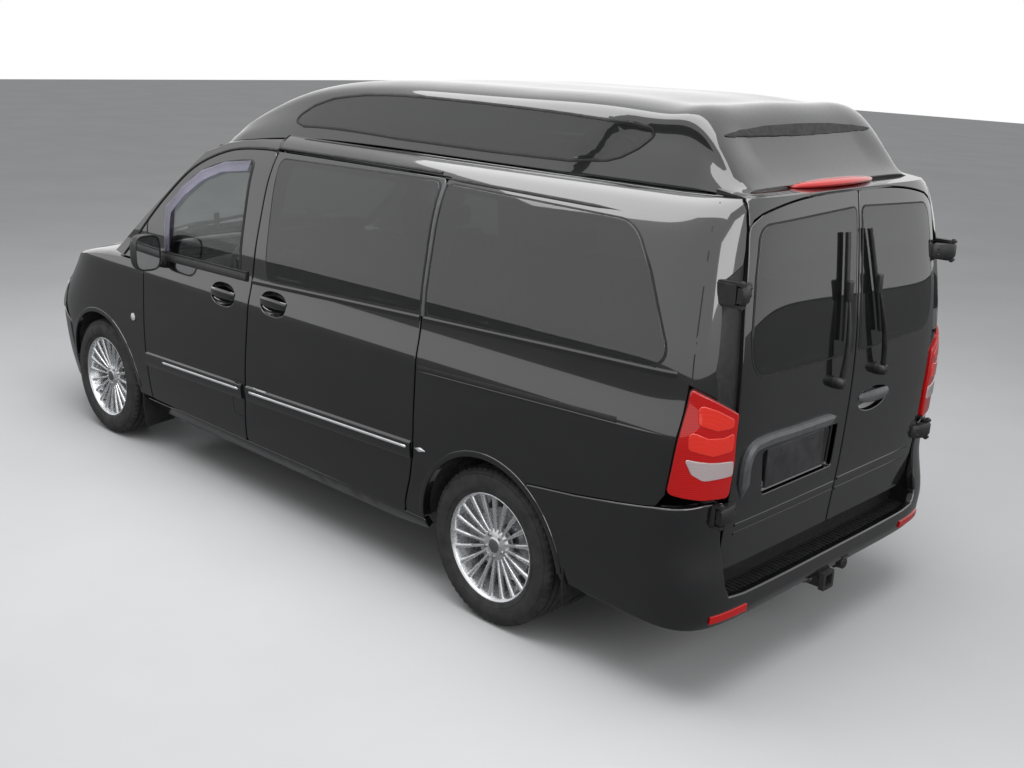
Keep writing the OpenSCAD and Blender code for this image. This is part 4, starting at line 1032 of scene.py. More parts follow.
def belt_ledge(piece, skin, start, stop):
    """The ledge under the windows, which catches the light along its upper edge."""
    path = np.array([(x, float(belt_line(x))) for x in np.linspace(start, stop, 60)])
    piece.add(strip(skin, path, [(-.016, -.004), (-.016, .001), (-.002, .0065), (.004, .0066), (.009, .004),
                                 (.0115, -.004)],
                    sign=-1), "gloss_paint")


def moulding(piece, start, stop, bright, tip=.03):
    """The black door moulding with its bright strip, and its small upper crease."""
    def low(x):
        return .602 - .0367 * (x - 1.145)
    xs = np.linspace(start, stop, 40)
    path = np.array([(x, low(x) - .03) for x in xs])
    piece.add(strip(side_skin, path, [(-.04, -.004), (-.04, .006), (-.034, .011), (.022, .012), (.034, .008),
                                      (.04, -.004)], sign=-1),
              "gloss_paint")
    path = np.array([(x, low(x) - .02) for x in np.linspace(bright, stop, 40)])
    piece.add(strip(side_skin, path, flat_bar(.014, .016), sign=-1, taper=tip), "bright_strip")


def front_doors():
    for side, body in ((1, "front_door_left"), (-1, "front_door_right")):
        p = Piece(body + "_panel")
        q = Piece(body + "_glass")
        put = (lambda s, f, g=None: p.add(s if side > 0 else mirrored(s), f, g))
        opening = rounded(FRONT_GLASS, FRONT_GLASS_R)
        flap = rounded([(.300, .47), (.300, .655), (.186, .655), (.205, .47)], [.012, .03, .012, .012])
        grip = grip_line(.381, 1.067)
        outline = rounded(front_door_outline(), [.02, .03] + [0] * 24 + [.02] + [0] * 7 + [.02])
        put(panel(side_skin, outline, [opening, grip], thick=.046, sign=-1), "gloss_paint", "cabin_trim")
        rim = shrink(opening, -.004)
        put(strip(side_skin, rim, GLASS_TRIM, sign=-1, closed=True), "rubber_seal")
        parts = Piece("parts")
        handle(parts, .381, 1.067)
        moulding(parts, DOOR_FRONT - .01, .205, .99)
        belt = np.array([(x, 1.1668 - .019 * (x - .95)) for x in np.linspace(.985, .19, 24)])
        parts.add(strip(side_skin, belt, flat_bar(.04, .011), sign=-1), "black_trim")
        parts.add(strip(side_skin, np.array([(x, z + .024) for x, z in belt]), flat_bar(.008, .009), sign=-1),
                  "rubber_seal")
        flap_line = spread(flap, .02)
        parts.add(strip(side_skin, flap_line, [(-.0022, -.004), (-.0022, .0006), (.0022, .0006),
                                               (.0022, -.004)],
                        sign=-1, closed=True), "rubber_seal")
        inner_line = np.array([(.905, 1.2), (.915, 1.4), (.80, 1.505), (.66, 1.595), (.50, 1.652),
                               (.29, 1.678)])
        outer_line = np.array([(.952, 1.2), (.967, 1.43), (.835, 1.545), (.681, 1.642), (.49, 1.702),
                               (.28, 1.727)])
        band = np.concatenate([spread(outer_line, .03, False), spread(inner_line[::-1], .03, False)])
        parts.add(panel(side_skin, rounded(band, .012), step=.03, thick=.003, roll=.001, lift=.012, sign=-1),
                  "smoke_acrylic")
        trim = rounded([(1.08, .40), (1.08, 1.13), (.23, 1.145), (.25, .40)], .04)
        parts.add(panel(side_skin, trim, step=.05, thick=.016, roll=.006, lift=-.046, sign=-1), "cabin_trim")
        pocket = rounded([(1.02, .43), (1.02, .56), (.32, .60), (.32, .43)], .03)
        parts.add(panel(side_skin, pocket, step=.05, thick=.03, roll=.008, lift=-.062, sign=-1), "cabin_trim")
        rest = np.array([(x, .93 + .02 * (x - .3)) for x in np.linspace(.32, .86, 14)])
        parts.add(strip(side_skin, rest, [(-.03, -.06), (-.03, -.095), (-.015, -.105), (.02, -.105),
                                          (.03, -.095),
                                          (.03, -.06)], sign=-1), "cabin_trim")
        pane(side_skin, shrink(opening, -.003), "clear_glass", q, lift=-.002)
        for made, into in ((parts, p), (q, None)):
            if side < 0:
                made.points = [v * (1, -1, 1) for v in made.points]
                made.normals = [v * (1, -1, 1) for v in made.normals]
                made.faces = [f[::-1] for f in made.faces]
            if into:
                into.points += made.points
                into.normals += made.normals
                into.faces += [tuple(i + into.count for i in f) for f in made.faces]
                into.count += made.count
                for i in made.index:
                    name = made.finishes[i]
                    if name not in into.finishes:
                        into.finishes.append(name)
                    into.index.append(into.finishes.index(name))
        p.make(body, "body_paint", body)
        q.make(body, "clear_glass", body.replace("door", "glass"))


def sliding_doors():
    low = SILL + .012
    outline = ([(float(door_seam(z)) - .004, z) for z in (low, .394, .5, .625, .9, 1.16, 1.5, 1.7, 1.78)]
               + [(.1, 1.79), (-.5, 1.792), (-1.06, 1.793)]
               + [(float(slide_rear(z)) + .004, z) for z in (1.78, 1.4, .9, .72, .67, .62, .57, .52, .48, .44,
                                                             .39, low)])
    outline = rounded(outline, [.02] + [0] * 7 + [.012] + [0] * 2 + [.02] + [0] * 11 + [.03])
    opening = rounded(SLIDE_GLASS, [.035, .03, .03, .035])
    grip = grip_line(-.045, 1.093)
    p, q = Piece("sliding_door_panels"), Piece("sliding_door_glass")
    p.both(panel(side_skin, outline, [shrink(opening, .014), grip], thick=.046, sign=-1), "gloss_paint",
           "cabin_trim")
    parts = Piece("parts")
    handle(parts, -.045, 1.093)
    moulding(parts, .166, slide_rear(.68) + .006, .16, .004)
    belt_ledge(parts, side_skin, .138, SLIDE_REAR + .012)
    q.both(panel(side_skin, opening, step=.05, thick=.006, roll=.002, lift=.0035, sign=-1), "privacy_glass")
    seal = shrink(opening, -.003)
    p.both(strip(side_skin, seal, [(-.0045, -.006), (-.0045, .002), (.0045, .002), (.0045, -.006)], sign=-1,
                 closed=True), "rubber_seal")
    take(p, parts, True)
    p.make("van", "body_paint", "sliding_doors")
    return q


def take(into, parts, both=False):
    """Adds gathered parts to a piece, on both sides when asked."""
    base = 0
    for points, normals in zip(parts.points, parts.normals):
        ids = range(base, base + len(points))
        own = [(f, i) for f, i in zip(parts.faces, parts.index) if f[0] in ids]
        for finish in parts.finishes:
            faces = [tuple(v - base for v in f) for f, i in own if parts.finishes[i] == finish]
            if faces:
                shell = [points, faces, normals, len(faces)]
                (into.both if both else into.add)(shell, finish)
        base += len(points)


def quarter_outline():
    lamp_x = ((-2.398, .845), (-2.43, 1.244))
    rear = [(1.214, .852), (1.195, .822), (1.3, .83), (1.344, .822), (1.45, .808), (1.52, .8), (1.6, .786),
            (1.65, .712), (1.7, .697),
            (1.765, .682), (1.83, .668), (1.866, .655)]
    return ([(-1.093, 1.799)] + [(float(slide_rear(z)) - .004, z) for z in (1.78, 1.4, .9, .72, .67, .62, .57,
                                                                            .52,
                                                                           .48, .44, .39, .345)]
            + [(-1.125, .345)] + arch_line("rear", 1, 122, 34) + [(-1.757, .7025)]
            + [(float(tail_at_x(x, z)), z) for x, z in ((-2.0, .7335), (-2.2, .7665), (-2.32, .7865),
                                                        (-2.37, .799))]
            + [(float(tail_at_x(x, z)), z) for x, z in lamp_x]
            + [(float(tail_at_y(y, z)), z) for z, y in rear]
            + [(-2.2, 1.866), (-1.94, 1.866), (-1.2, 1.866), (0, 1.866), (.118, 1.865), (.11, 1.799),
               (-.5, 1.8)])


def body_sides():
    p, glass = Piece("body_side_panels"), sliding_doors()
    opening = rounded(QUARTER_GLASS, [.035, .03, .14, .3, .06])
    p.both(panel(tail_skin, quarter_outline(), [shrink(opening, .014)], thick=.04, sign=-1), "gloss_paint",
           "headlining")
    glass.both(panel(tail_skin, opening, step=.05, thick=.006, roll=.002, lift=.0035, sign=-1),
               "privacy_glass")
    p.both(strip(tail_skin, shrink(opening, -.003), [(-.0045, -.006), (-.0045, .002), (.0045, .002),
                                                     (.0045, -.006)],
                 sign=-1, closed=True), "rubber_seal")
    ledge = Piece("ledge")
    belt_ledge(ledge, tail_skin, SLIDE_REAR - .012, -2.36)
    take(p, ledge, True)
    gutter = np.array([(x, 1.803 + .006 * min(1, (.2 - x) / .8)) for x in np.linspace(.1, -1.03, 40)])
    p.both(strip(side_skin, gutter, flat_bar(.011, .006), sign=-1), "rubber_seal")
    top_seal = np.array([(x, 1.7805 + .012 * min(1, (x + 2.0) / .9)) for x in np.linspace(-1.03, -2.0, 30)])
    p.both(strip(tail_skin, top_seal, flat_bar(.012, .005), sign=-1, taper=.12), "rubber_seal")
    bar = np.array([(-1.0765 - .0145 * (1.77 - z) / .53, z) for z in np.linspace(1.772, 1.235, 14)])
    p.both(strip(side_skin, bar, flat_bar(.016, .008), sign=-1), "grey_plastic")
    slot = np.array([(x, 1.019 - .0437 * (x + 1.09)) for x in np.linspace(-1.1, -2.15, 30)])
    p.both(strip(tail_skin, slot, flat_bar(.02, .0015), sign=-1), "rubber_seal")
    lip = np.array([(x, 1.0045 - .0437 * (x + 1.09)) for x in np.linspace(-1.1, -2.36, 36)])
    p.both(strip(tail_skin, lip, flat_bar(.009, .0055), sign=-1, taper=.1), "gloss_paint")
    tip = np.array([(x, .683 - .0367 * (x + 1.06) - .018) for x in np.linspace(-1.097, -1.165, 10)])
    p.both(strip(tail_skin, tip, flat_bar(.03, .012), sign=-1, taper=.05), "bright_strip")
    x, z, r = ARCH["rear"]
    flare = np.array([(x + (r + .011) * cos(a), z + (r + .011) * sin(a))
                      for a in np.radians(np.linspace(4, 176, 60))])
    p.both(strip(tail_skin, flare, flat_bar(.026, .003, round_off=.9), sign=-1), "gloss_paint")
    p.both(wheel_house(x, r, .5), "underbody_coat")
    sill = rounded([(1.27, .252), (1.235, .312), (1.02, .314), (.9, .328), (-.9, .34), (-1.13, .341),
                    (-1.14, .29), (-.9, .262),
                    (.9, .24)], .01)
    p.both(panel(sill_skin, sill, step=.04, thick=.03, sign=-1), "gloss_paint", "underbody_coat")
    pillar = [(.19, .36), (.19, 1.16), (.15, 1.79), (.06, 1.79), (.1, 1.16), (.1, .36)]
    p.both(panel(side_skin, pillar, step=.06, thick=.03, roll=.004, lift=-.052, sign=-1), "black_trim",
           "cabin_trim")
    track = [(-1.02, .36), (-1.06, .7), (-1.06, 1.79), (-1.13, 1.79), (-1.13, .7), (-1.1, .36)]
    p.both(panel(side_skin, track, step=.06, thick=.03, roll=.004, lift=-.047, sign=-1), "black_trim",
           "cabin_trim")
    tread = [(1.015, .352), (1.015, .385), (-1.0, .385), (-1.0, .352)]
    p.both(panel(side_skin, tread, step=.08, thick=.09, roll=.004, lift=-.06, sign=-1), "black_trim")
    channel = [(float(tail_at_y(y, z)), z) for z, y in ((1.15, .85), (1.25, .862), (1.344, .84), (1.45, .828),
                                                        (1.54, .815), (1.6, .802),
                                                        (1.66, .76), (1.75, .725), (1.86, .675))]
    channel += [(float(tail_at_y(y, z)), z) for z, y in ((1.86, .62), (1.8, .65), (1.7, .68), (1.54, .7),
                                                         (1.4, .714), (1.25, .72),
                                                         (1.12, .722))]
    p.both(panel(tail_skin, channel, step=.03, thick=.03, roll=.004, lift=-.018, sign=-1), "black_trim")
    seam = [(-2.367, 1.85), (-2.385, 1.77), (-2.402, 1.681), (-2.415, 1.56), (-2.424, 1.449), (-2.433, 1.32),
            (-2.438, 1.245)]
    seam = np.array([(float(tail_at_x(x, z)), z) for x, z in seam])
    p.both(strip(tail_skin, seam, flat_bar(.005, .0006), sign=-1), "rubber_seal")
    deck = [(.31, .56), (.31, .735), (0, .72), (-.5, .706), (-1.8, .706), (-2.2, .70), (-2.3, .67),
            (-2.37, .62), (-2.37, .5), (-2.2, .56)]
    p.both(panel(deck_skin, deck, step=.06, thick=.02, roll=.004, sign=1), "gloss_paint", "headlining")
    p.make("van", "body_paint", "body_sides")
    glass.make("van", "dark_glass", "side_glass")


def deck_skin(uv):
    x, y = uv[:, 0], uv[:, 1]
    return np.stack([x, y, roof_foot(x) - .004 + 0 * y], 1)


def sill_skin(uv):
    x, z = uv[:, 0], uv[:, 1]
    tuck = .05 * ease((.33 - z) / .1)
    return np.stack([x, side_y(x, np.maximum(z, .3)) - .004 - tuck, z], 1)


def wheel_house(x, r, depth):
    """The arched liner over a wheel."""
    rings = []
    for a in np.radians(np.linspace(2, 178, 40)):
        d = np.array([cos(a), 0, sin(a)])
        centre = np.array([x, 0, .342])
        wide = side_y(x + r * cos(a), .342 + r * sin(a)) - .006
        ring = [centre + d * (r + .012) + (0, wide, 0), centre + d * (r + .012) + (0, wide - depth * .7, 0),
                centre + d * (r + .006) + (0, wide - depth * .7, 0), centre + d * (r + .004) + (0, wide, 0)]
        rings.append(ring)
    return loft(rings)


# Raised roof.
ROOF_STATIONS = [(0, .8, .02), (.012, .93, .1), (.03, 1.0, .21), (.08, 1.02, .44), (.13, 1.02, .61),
                 (.2, 1.02, .79),
                 (.3, 1.01, .92), (.45, 1, .985), (.65, .99, 1), (.82, .965, .985), (.885, .95, .965),
                 (.92, .94, .935),
                 (.94, .93, .77), (.958, .92, .55), (.976, .905, .3), (.988, .885, .15), (1, .86, .06)]
roof_width = curve_through([(s, w) for s, w, h in ROOF_STATIONS])
roof_height = curve_through([(s, h) for s, w, h in ROOF_STATIONS])
roof_foot = curve_through([(-2.4, 1.868), (-.9, 1.869), (-.4, 1.867), (.065, 1.852), (.35, 1.826),
                           (.65, 1.788), (.75, 1.774)])
SECTION = [(1, 0), (.975, .3), (.93, .63), (.89, .84), (.815, .93), (.5, .985), (0, 1)]
SECTION_RUN = np.concatenate([[0], np.cumsum([hypot((a[0] - b[0]) * .7, (a[1] - b[1]) * .3)
                                              for a, b in zip(SECTION, SECTION[1:])])])
ROOF_SPAN = 2 * SECTION_RUN[-1]
both_ways = list(zip(SECTION_RUN, SECTION)) + [(ROOF_SPAN - r, (-s[0], s[1]))
                                               for r, s in list(zip(SECTION_RUN, SECTION))[-2::-1]]
section_w = curve_through([(r, s[0]) for r, s in both_ways])
section_h = curve_through([(r, s[1]) for r, s in both_ways])


def roof_skin(uv):
    x, v = uv[:, 0], uv[:, 1]
    s = np.clip((ROOF_FRONT - x) / (ROOF_FRONT - ROOF_REAR), 0, 1)
    w, h = section_w(v), section_h(v)
    base = roof_foot(x)
    edge = np.minimum(v, ROOF_SPAN - v)
    low = ease((.27 - edge) / .1)
    sweep = -1.62 - 1.1 * np.clip(edge, 0, .3) ** 1.25
    tuck = .03 * ease((sweep - x) / .09) * ease((x + 2.33) / .16) * low
    rise = CROWN - ROOF_BASE
    z = base + rise * roof_height(s) * h
    y = ROOF_HALF * roof_width(s) * w
    y = y - np.sign(y) * tuck
    hollow = ease((s - .93) / .03) * ease((.995 - s) / .03) * ease((.56 - np.abs(y)) / .2)
    return np.stack([x + .022 * hollow, y, z], 1)


def roof_side_v(x, z):
    """How far up the section the roof's side reaches a height."""
    v = np.linspace(0, .34, 120)
    zs = roof_skin(np.stack([np.full_like(v, x), v], 1))[:, 2]
    return float(np.interp(z, zs, v))


ROOF_WINDOW = [(.096, 1.931), (.068, 1.962), (-.015, 2.007), (-.145, 2.046), (-.364, 2.076), (-.577, 2.088),
               (-.782, 2.091),
               (-1.072, 2.09), (-1.342, 2.087), (-1.674, 2.077), (-1.874, 2.067), (-1.957, 2.058),
               (-1.968, 2.04), (-1.913, 1.991),
               (-1.849, 1.955), (-1.787, 1.936), (-1.642, 1.922), (-1.218, 1.917), (-.63, 1.918),
               (.029, 1.916)]


def raised_roof():
    p, q = Piece("raised_roof_shell"), Piece("roof_side_windows")
    v = [(x, roof_side_v(x, z)) for x, z in ROOF_WINDOW]
    loop = rounded(v, [.02] * 11 + [.015] + [.02] * 8)
    other = np.array([(x, ROOF_SPAN - w) for x, w in loop])
    n = ROOF_SPAN
    ends = [(ROOF_FRONT - .001, t) for t in np.linspace(n * .02, n * .98, 30)]
    outline = [(x, .002) for x in np.linspace(ROOF_REAR + .002, ROOF_FRONT - .02, 60)] + ends
    outline += [(x, n - .002) for x in np.linspace(ROOF_FRONT - .02, ROOF_REAR + .002, 60)]
    p.add(panel(roof_skin, np.array(outline), [shrink(loop, .01), shrink(other, .01)], step=.03, thick=.024,
                roll=.004,
                sign=-1), "roof_shell", "headlining")
    for window in (loop, other):
        q.add(panel(roof_skin, window, step=.05, thick=.006, roll=.002, lift=.002, sign=-1), "privacy_glass")
        p.add(strip(roof_skin, turned(shrink(window, -.005), True), flat_bar(.012, .0045), sign=-1,
                    closed=True), "rubber_seal")
    # Painted shade: a dark elliptical sheet fills the hollow under the roof's rear lip, standing in for the
    # shadow there.
    lens = [(.52 * cos(a), 2.064 + .021 * np.sign(sin(a)) * abs(sin(a)) ** 1.3 - .008 * cos(a) ** 2)
            for a in np.linspace(0, 2 * pi, 80, endpoint=False)]
    spot = []
    for y, z in lens:
        zs = np.linspace(-2.12, -2.3, 80)
        near = min(range(80), key=lambda i: abs(roof_at(zs[i], y)[2] - z))
        spot.append(roof_at(zs[near], y) + np.array([-.0015, 0, .001]))
    spot = np.array(spot)
    p.add(loft([spot + (-.001, 0, 0), spot + (.02, 0, -.004)]), "rubber_seal")
    p.make("van", "body_paint", "raised_roof")
    q.make("van", "dark_glass")


def roof_at(x, y):
    v = np.linspace(.05, ROOF_SPAN - .05, 160)
    pts = roof_skin(np.stack([np.full_like(v, x), v], 1))
    order = np.argsort(pts[:, 1])
    return np.array([np.interp(y, pts[order, 1], pts[order, i]) for i in range(3)])


# Front end.
def pillar_edge(z):
    """Where the windscreen meets the side, at a height."""
    x = 1.0
    for _ in range(12):
        x = float(screen_x(side_y(x, z), z))
    return x


def steel_roof_skin(uv):
    x, y = uv[:, 0], uv[:, 1]
    return np.stack([x, y, roof_foot(x) - .003 + .004 * (1 - (y / .75) ** 2)], 1)


def front_end():
    p = Piece("front_shell_panels")
    zs = np.linspace(1.738, 1.125, 26)
    edge = [(pillar_edge(z) - .006, z) for z in zs]
    roof_line = [(x, float(roof_foot(x)) - .002) for x in np.linspace(.122, .42, 9)]
    roof_line += [(.483, 1.803), (.53, 1.795), (.585, 1.779), (.633, 1.76)]
    lower = [(1.385, 1.108), (1.157, 1.112), (1.157, 1.335)] + [(x, float(door_top(x)) + .009)
                                                                for x in np.linspace(1.13, .2, 24)]
    outline = roof_line + edge + lower + [(.114, 1.7975)]
    p.both(panel(side_skin, np.array(outline), step=.02, thick=.03, sign=-1), "gloss_paint", "headlining")
    seal = np.array([(1.375, 1.118)] + [(x, float(door_top(x)) + .0045) for x in np.linspace(1.29, .12, 50)])
    p.both(strip(side_skin, seal, flat_bar(.01, .005), sign=-1), "rubber_seal")
    p.both(strip(side_skin, np.array([(.118 + .012 * (z - 1.8) / .06, z) for z in np.linspace(1.80, 1.862,
                                                                                              8)]),
                 flat_bar(.005, .0012), sign=-1), "rubber_seal")
    ys = np.linspace(-.66, .66, 40)
    front = [(float(screen_x(y, 1.783)) - .004, y) for y in ys]
    corner = [(.672, .7), (.632, .73), (.56, .752), (.42, .757), (.3, .745)]
    header = front + corner + [(x, -y) for x, y in corner[::-1]]
    p.add(panel(steel_roof_skin, np.array(header), step=.04, thick=.03, roll=.01, sign=1), "gloss_paint",
          "headlining")
    side = [(float(side_y(1.0, z)) * .955 - .012, z) for z in np.linspace(1.17, 1.775, 20)]
    frame_loop = side + [(y, 1.781 - .006 * (y / .7) ** 2) for y in np.linspace(.72, -.72, 30)]
    frame_loop += [(-y, z) for y, z in side[::-1]] + [(y, 1.172 - .035 * (y / .86) ** 2)
                                                      for y in np.linspace(-.84, .84, 30)]
    frame_loop = np.array(frame_loop)
    hole = shrink(frame_loop, .045)
    p.add(panel(screen_skin, frame_loop, [hole], step=.03, thick=.03, roll=.003, lift=-.006, sign=1),
          "rubber_seal", "headlining")
    cowl = []
    for y in np.linspace(-.8, .8, 41):
        x0 = min(float(screen_x(y, 1.15)), 1.54)
        end = min(x0 + .12, 1.626)
        cowl.append([(x0 - .06, y, 1.128), (x0 + .03, y, 1.132), (end - .04, y, 1.12), (end, y, 1.1),
                     (end, y, 1.085),
                     (x0 - .06, y, 1.09)])
    p.add(loft(cowl), "black_trim")
    p.make("van", "body_paint", "front_shell")
    g = Piece("windscreen_pane")
    g.add(panel(screen_skin, shrink(frame_loop, .012), step=.06, thick=.006, roll=.002, lift=-.003, sign=1),
          "clear_glass")
    g.make("van", "clear_glass", "windscreen")
    w = Piece("front_wiper_arms")
    for s, tip in ((1, .02), (-1, -.62)):
        wiper(w, (s * .6 if s > 0 else -.1, 1.165), (tip, 1.24), screen_skin, sign=1, out=.026)
    w.make("van", "black_plastic", "front_wipers")
    fenders()
    bonnet()
    nose_parts()


def fender_top(x):
    return np.interp(x, [1.15, 1.385, 1.6, 1.75, 1.9, 2.05, 2.2, 2.3],
                     [1.105, 1.1, 1.088, 1.07, 1.045, 1.01, .955, .9])


def fenders():
    p = Piece("front_wings")
    arch = arch_line("front", 6, 176, 44)
    outline = [(1.157, .335), (1.157, 1.104), (1.385, 1.1)] + line(fender_top, 1.45, 2.2, 14)
    outline += [(2.26, .885), (2.12, .65), (2.075, .6)] + arch + [(1.29, .335)]
    p.both(panel(side_skin, np.array(outline), step=.024, thick=.02, sign=-1), "gloss_paint",
           "underbody_coat")
    xs = np.linspace(1.39, 2.24, 30)
    rows = []
    for x in xs:
        z = float(fender_top(x))
        y = float(side_y(x, z))
        inner = .735 - .14 * np.clip((x - 1.6) / .755, 0, 1) + .012
        top = float(bonnet_skin(np.array([(x, inner)]))[0][2]) - .004
        row = [(x, y - .002, z - .002), (x, y - .012, z + .006)]
        for t in (.25, .5, .75, 1):
            row.append((x, y + (inner - y) * t, z + .006 + (top - z - .006) * t ** .7))
        row += [(x, inner, top - .03), (x, y - .02, z - .03)]
        rows.append(row)
    p.both(loft(rows), "gloss_paint")
    x, z, r = ARCH["front"]
    flare = np.array([(x + (r + .011) * cos(a), z + (r + .011) * sin(a))
                      for a in np.radians(np.linspace(8, 175, 60))])
    p.both(strip(side_skin, flare, flat_bar(.026, .003, round_off=.9), sign=-1), "gloss_paint")
    p.both(wheel_house(x, r, .4), "underbody_coat")
    spot = side_skin(np.array([(1.264, .784)]))[0]
    n, _, _ = facing(side_skin, np.array([(1.264, .784)]), -1)
    p.both(lathe([(.0005, .012), (.012, .0105), (.02, .006), (.0225, .001), (.0225, -.01), (.0005, -.01)],
                 spot, n[0], 32),
           "amber_marker")
    p.both(lathe([(.0225, .003), (.026, .002), (.027, -.006), (.0225, -.006)], spot, n[0], 32), "black_trim")
    p.make("van", "body_paint", "front_fenders")


def bonnet():
    p = Piece("bonnet_panel")
    xs = np.linspace(1.66, 2.3, 16)
    half = lambda x: .735 - .14 * np.clip((x - 1.6) / .755, 0, 1)
    outline = [(x, half(x)) for x in xs] + [(2.335, .52), (2.35, .3), (2.355, 0), (2.35, -.3), (2.335, -.52)]
    outline += [(x, -half(x)) for x in xs[::-1]]
    outline += [(1.655, -.5), (1.652, 0), (1.655, .5)]
    p.add(panel(bonnet_skin, np.array(outline), step=.03, thick=.022, roll=.006, sign=1), "gloss_paint",
          "underbody_coat")
    frame_loop = rounded([(1.75, .55), (1.75, -.55), (2.2, -.45), (2.2, .45)], .06)
    p.add(panel(bonnet_skin, frame_loop, [shrink(frame_loop, .07)], step=.04, thick=.012, roll=.004,
                lift=-.022, sign=1),
          "underbody_coat")
    p.make("bonnet", "body_paint", "bonnet")


def nose_parts():
    b = Piece("front_bumper_cover")
    centre = float(nose_at_y(0, .5))
    low = [(float(nose_at_x(2.09, .4)), .44), (float(nose_at_x(2.08, .3)), .3),
           (float(nose_at_x(2.12, .22)), .235),
           (float(nose_at_x(2.3, .2)), .205), (float(nose_at_y(.5, .2)), .2)]
    top = [(float(nose_at_x(2.10, .6)), .602), (float(nose_at_x(2.2, .635)), .636),
           (float(nose_at_y(.7, .636)), .636),
           (float(nose_at_y(.5, .636)), .636), (float(nose_at_y(.3, .634)), .634)]

    def over(points):
        return [(2 * centre - q, v) for q, v in points]
    outline = low + [(centre, .2)] + over(low)[::-1] + over(top) + [(centre, .634)] + top[::-1]
    inlet = rounded([(float(nose_at_y(.42, .3)), .29), (float(nose_at_y(.46, .4)), .44),
                     (float(nose_at_y(-.46, .4)), .44),
                     (float(nose_at_y(-.42, .3)), .29)], .03)
    fog = [(float(nose_at_y(.68, .4)) + .06 * cos(a), .39 + .06 * sin(a)) for a in np.linspace(0, 2 * pi, 30,
            endpoint=False)]
    b.add(panel(nose_skin, np.array(outline), [inlet, fog, over(fog)], step=.03, thick=.03, roll=.008,
                sign=-1, turns=4),
          "gloss_paint", "underbody_coat")
    for loop in (fog, over(fog)):
        b.add(cup(nose_skin, np.array(loop), .05, -1), "black_trim")
        c = np.mean(loop, 0)
        n, _, _ = facing(nose_skin, np.array([c]), -1)
        b.add(lathe([(.0005, -.012), (.03, -.015), (.043, -.024), (.045, -.04), (.0005, -.04)],
                    nose_skin(np.array([c]))[0], n[0], 32),
              "clear_lens")
    b.add(panel(nose_skin, shrink(inlet, -.012), step=.04, thick=.01, roll=.003, lift=-.04, sign=-1),
          "black_trim")
    rim = [(float(nose_at_x(2.15, .9)), .84), (float(nose_at_y(.72, .87)), .86),
           (float(nose_at_y(.5, .88)), .875),
           (float(nose_at_y(.3, .9)), .885)]
    brow = [(float(nose_at_x(2.15, .95)), .95), (float(nose_at_y(.66, .95)), .945),
            (float(nose_at_y(.4, .95)), .95)]
    ledge = rim + [(centre, .89)] + over(rim)[::-1] + over(brow) + [(centre, .955)] + brow[::-1]
    b.add(panel(nose_skin, np.array(ledge), step=.03, thick=.012, roll=.003, lift=-.026, sign=-1, turns=4),
          "gloss_paint",
          "underbody_coat")
    b.make("van", "body_paint", "front_bumper")
    slats = Piece("lower_inlet_slats")
    bar = tube(nose_skin(np.array([(float(nose_at_y(y, .36)), .36) for y in np.linspace(.44, -.44, 30)]))
               - (.014, 0, .36), .006, 10, flat=.8)
    carrier = bpy.data.meshes.new("inlet_rows")
    carrier.from_pydata([(0, 0, z) for z in (.315, .34, .365, .39, .415)], [], [])
    slats.add(copies_on("inlet_slats", carrier, bar), "black_trim")
    slats.make("van", "black_plastic")
    g = Piece("front_grille")
    ys = np.linspace(.52, -.52, 24)
    loop = [(float(nose_at_y(y, .88)), .9 - .02 * (y / .5) ** 2) for y in ys]
    loop += [(float(nose_at_y(y, .66)), .65) for y in np.linspace(-.47, .47, 24)]
    loop = rounded(loop, [.04] + [0] * 22 + [.04, .04] + [0] * 22 + [.04])
    g.add(panel(nose_skin, loop, [shrink(loop, .03)], step=.03, thick=.05, roll=.008, lift=.0, sign=-1,
                turns=4), "black_trim")
    g.add(panel(nose_skin, shrink(loop, .012), step=.05, thick=.01, roll=.002, lift=-.045, sign=-1),
          "black_trim")
    for z in (.835, .765, .7):
        path = np.array([(float(nose_at_y(y, z)), z) for y in np.linspace(.47, -.47, 40)])
        g.add(strip(nose_skin, path, [(-.02, -.03), (-.02, -.008), (-.012, -.002), (.012, -.002),
                                      (.02, -.008), (.02, -.03)], sign=-1),
              "grey_plastic")
        g.add(strip(nose_skin, path, flat_bar(.008, .003), sign=-1), "bright_strip")
    g.make("van", "black_plastic", "grille")
    h = Piece("headlamp_units")
    lamp = [(float(nose_at_x(2.255, .87)), .868), (float(nose_at_x(2.17, .8)), .83),
            (float(nose_at_x(2.13, .7)), .66), (float(nose_at_y(.72, .65)), .645),
            (float(nose_at_y(.53, .66)), .655), (float(nose_at_y(.535, .86)), .875),
            (float(nose_at_y(.66, .9)), .89)]
    lamp = rounded(lamp, [.02, .04, .04, .03, .03, .03, .04])
    h.both(panel(nose_skin, lamp, step=.02, thick=.005, roll=.002, lift=.004, sign=-1, turns=4),
           "clear_glass")
    h.both(panel(nose_skin, shrink(lamp, .003), step=.03, thick=.012, roll=.002, lift=-.045, sign=-1),
           "black_trim")
    h.both(strip(nose_skin, shrink(lamp, .004), [(-.003, -.05), (-.003, -.002), (.003, -.002), (.003, -.05)],
                 sign=-1, closed=True),
           "black_trim")
    for y, z, r in ((.64, .765, .055), (.755, .75, .045)):
        spot = nose_skin(np.array([(float(nose_at_y(y, z)), z)]))[0]
        h.both(lathe([(.0005, -.05), (r * .5, -.045), (r * .9, -.025), (r, -.012), (r + .004, -.014),
                      (r + .003, -.06), (.0005, -.06)],
                     spot, (1, 0, 0), 40), "mirror_silver")
    h.make("van", "clear_lens", "headlamps")


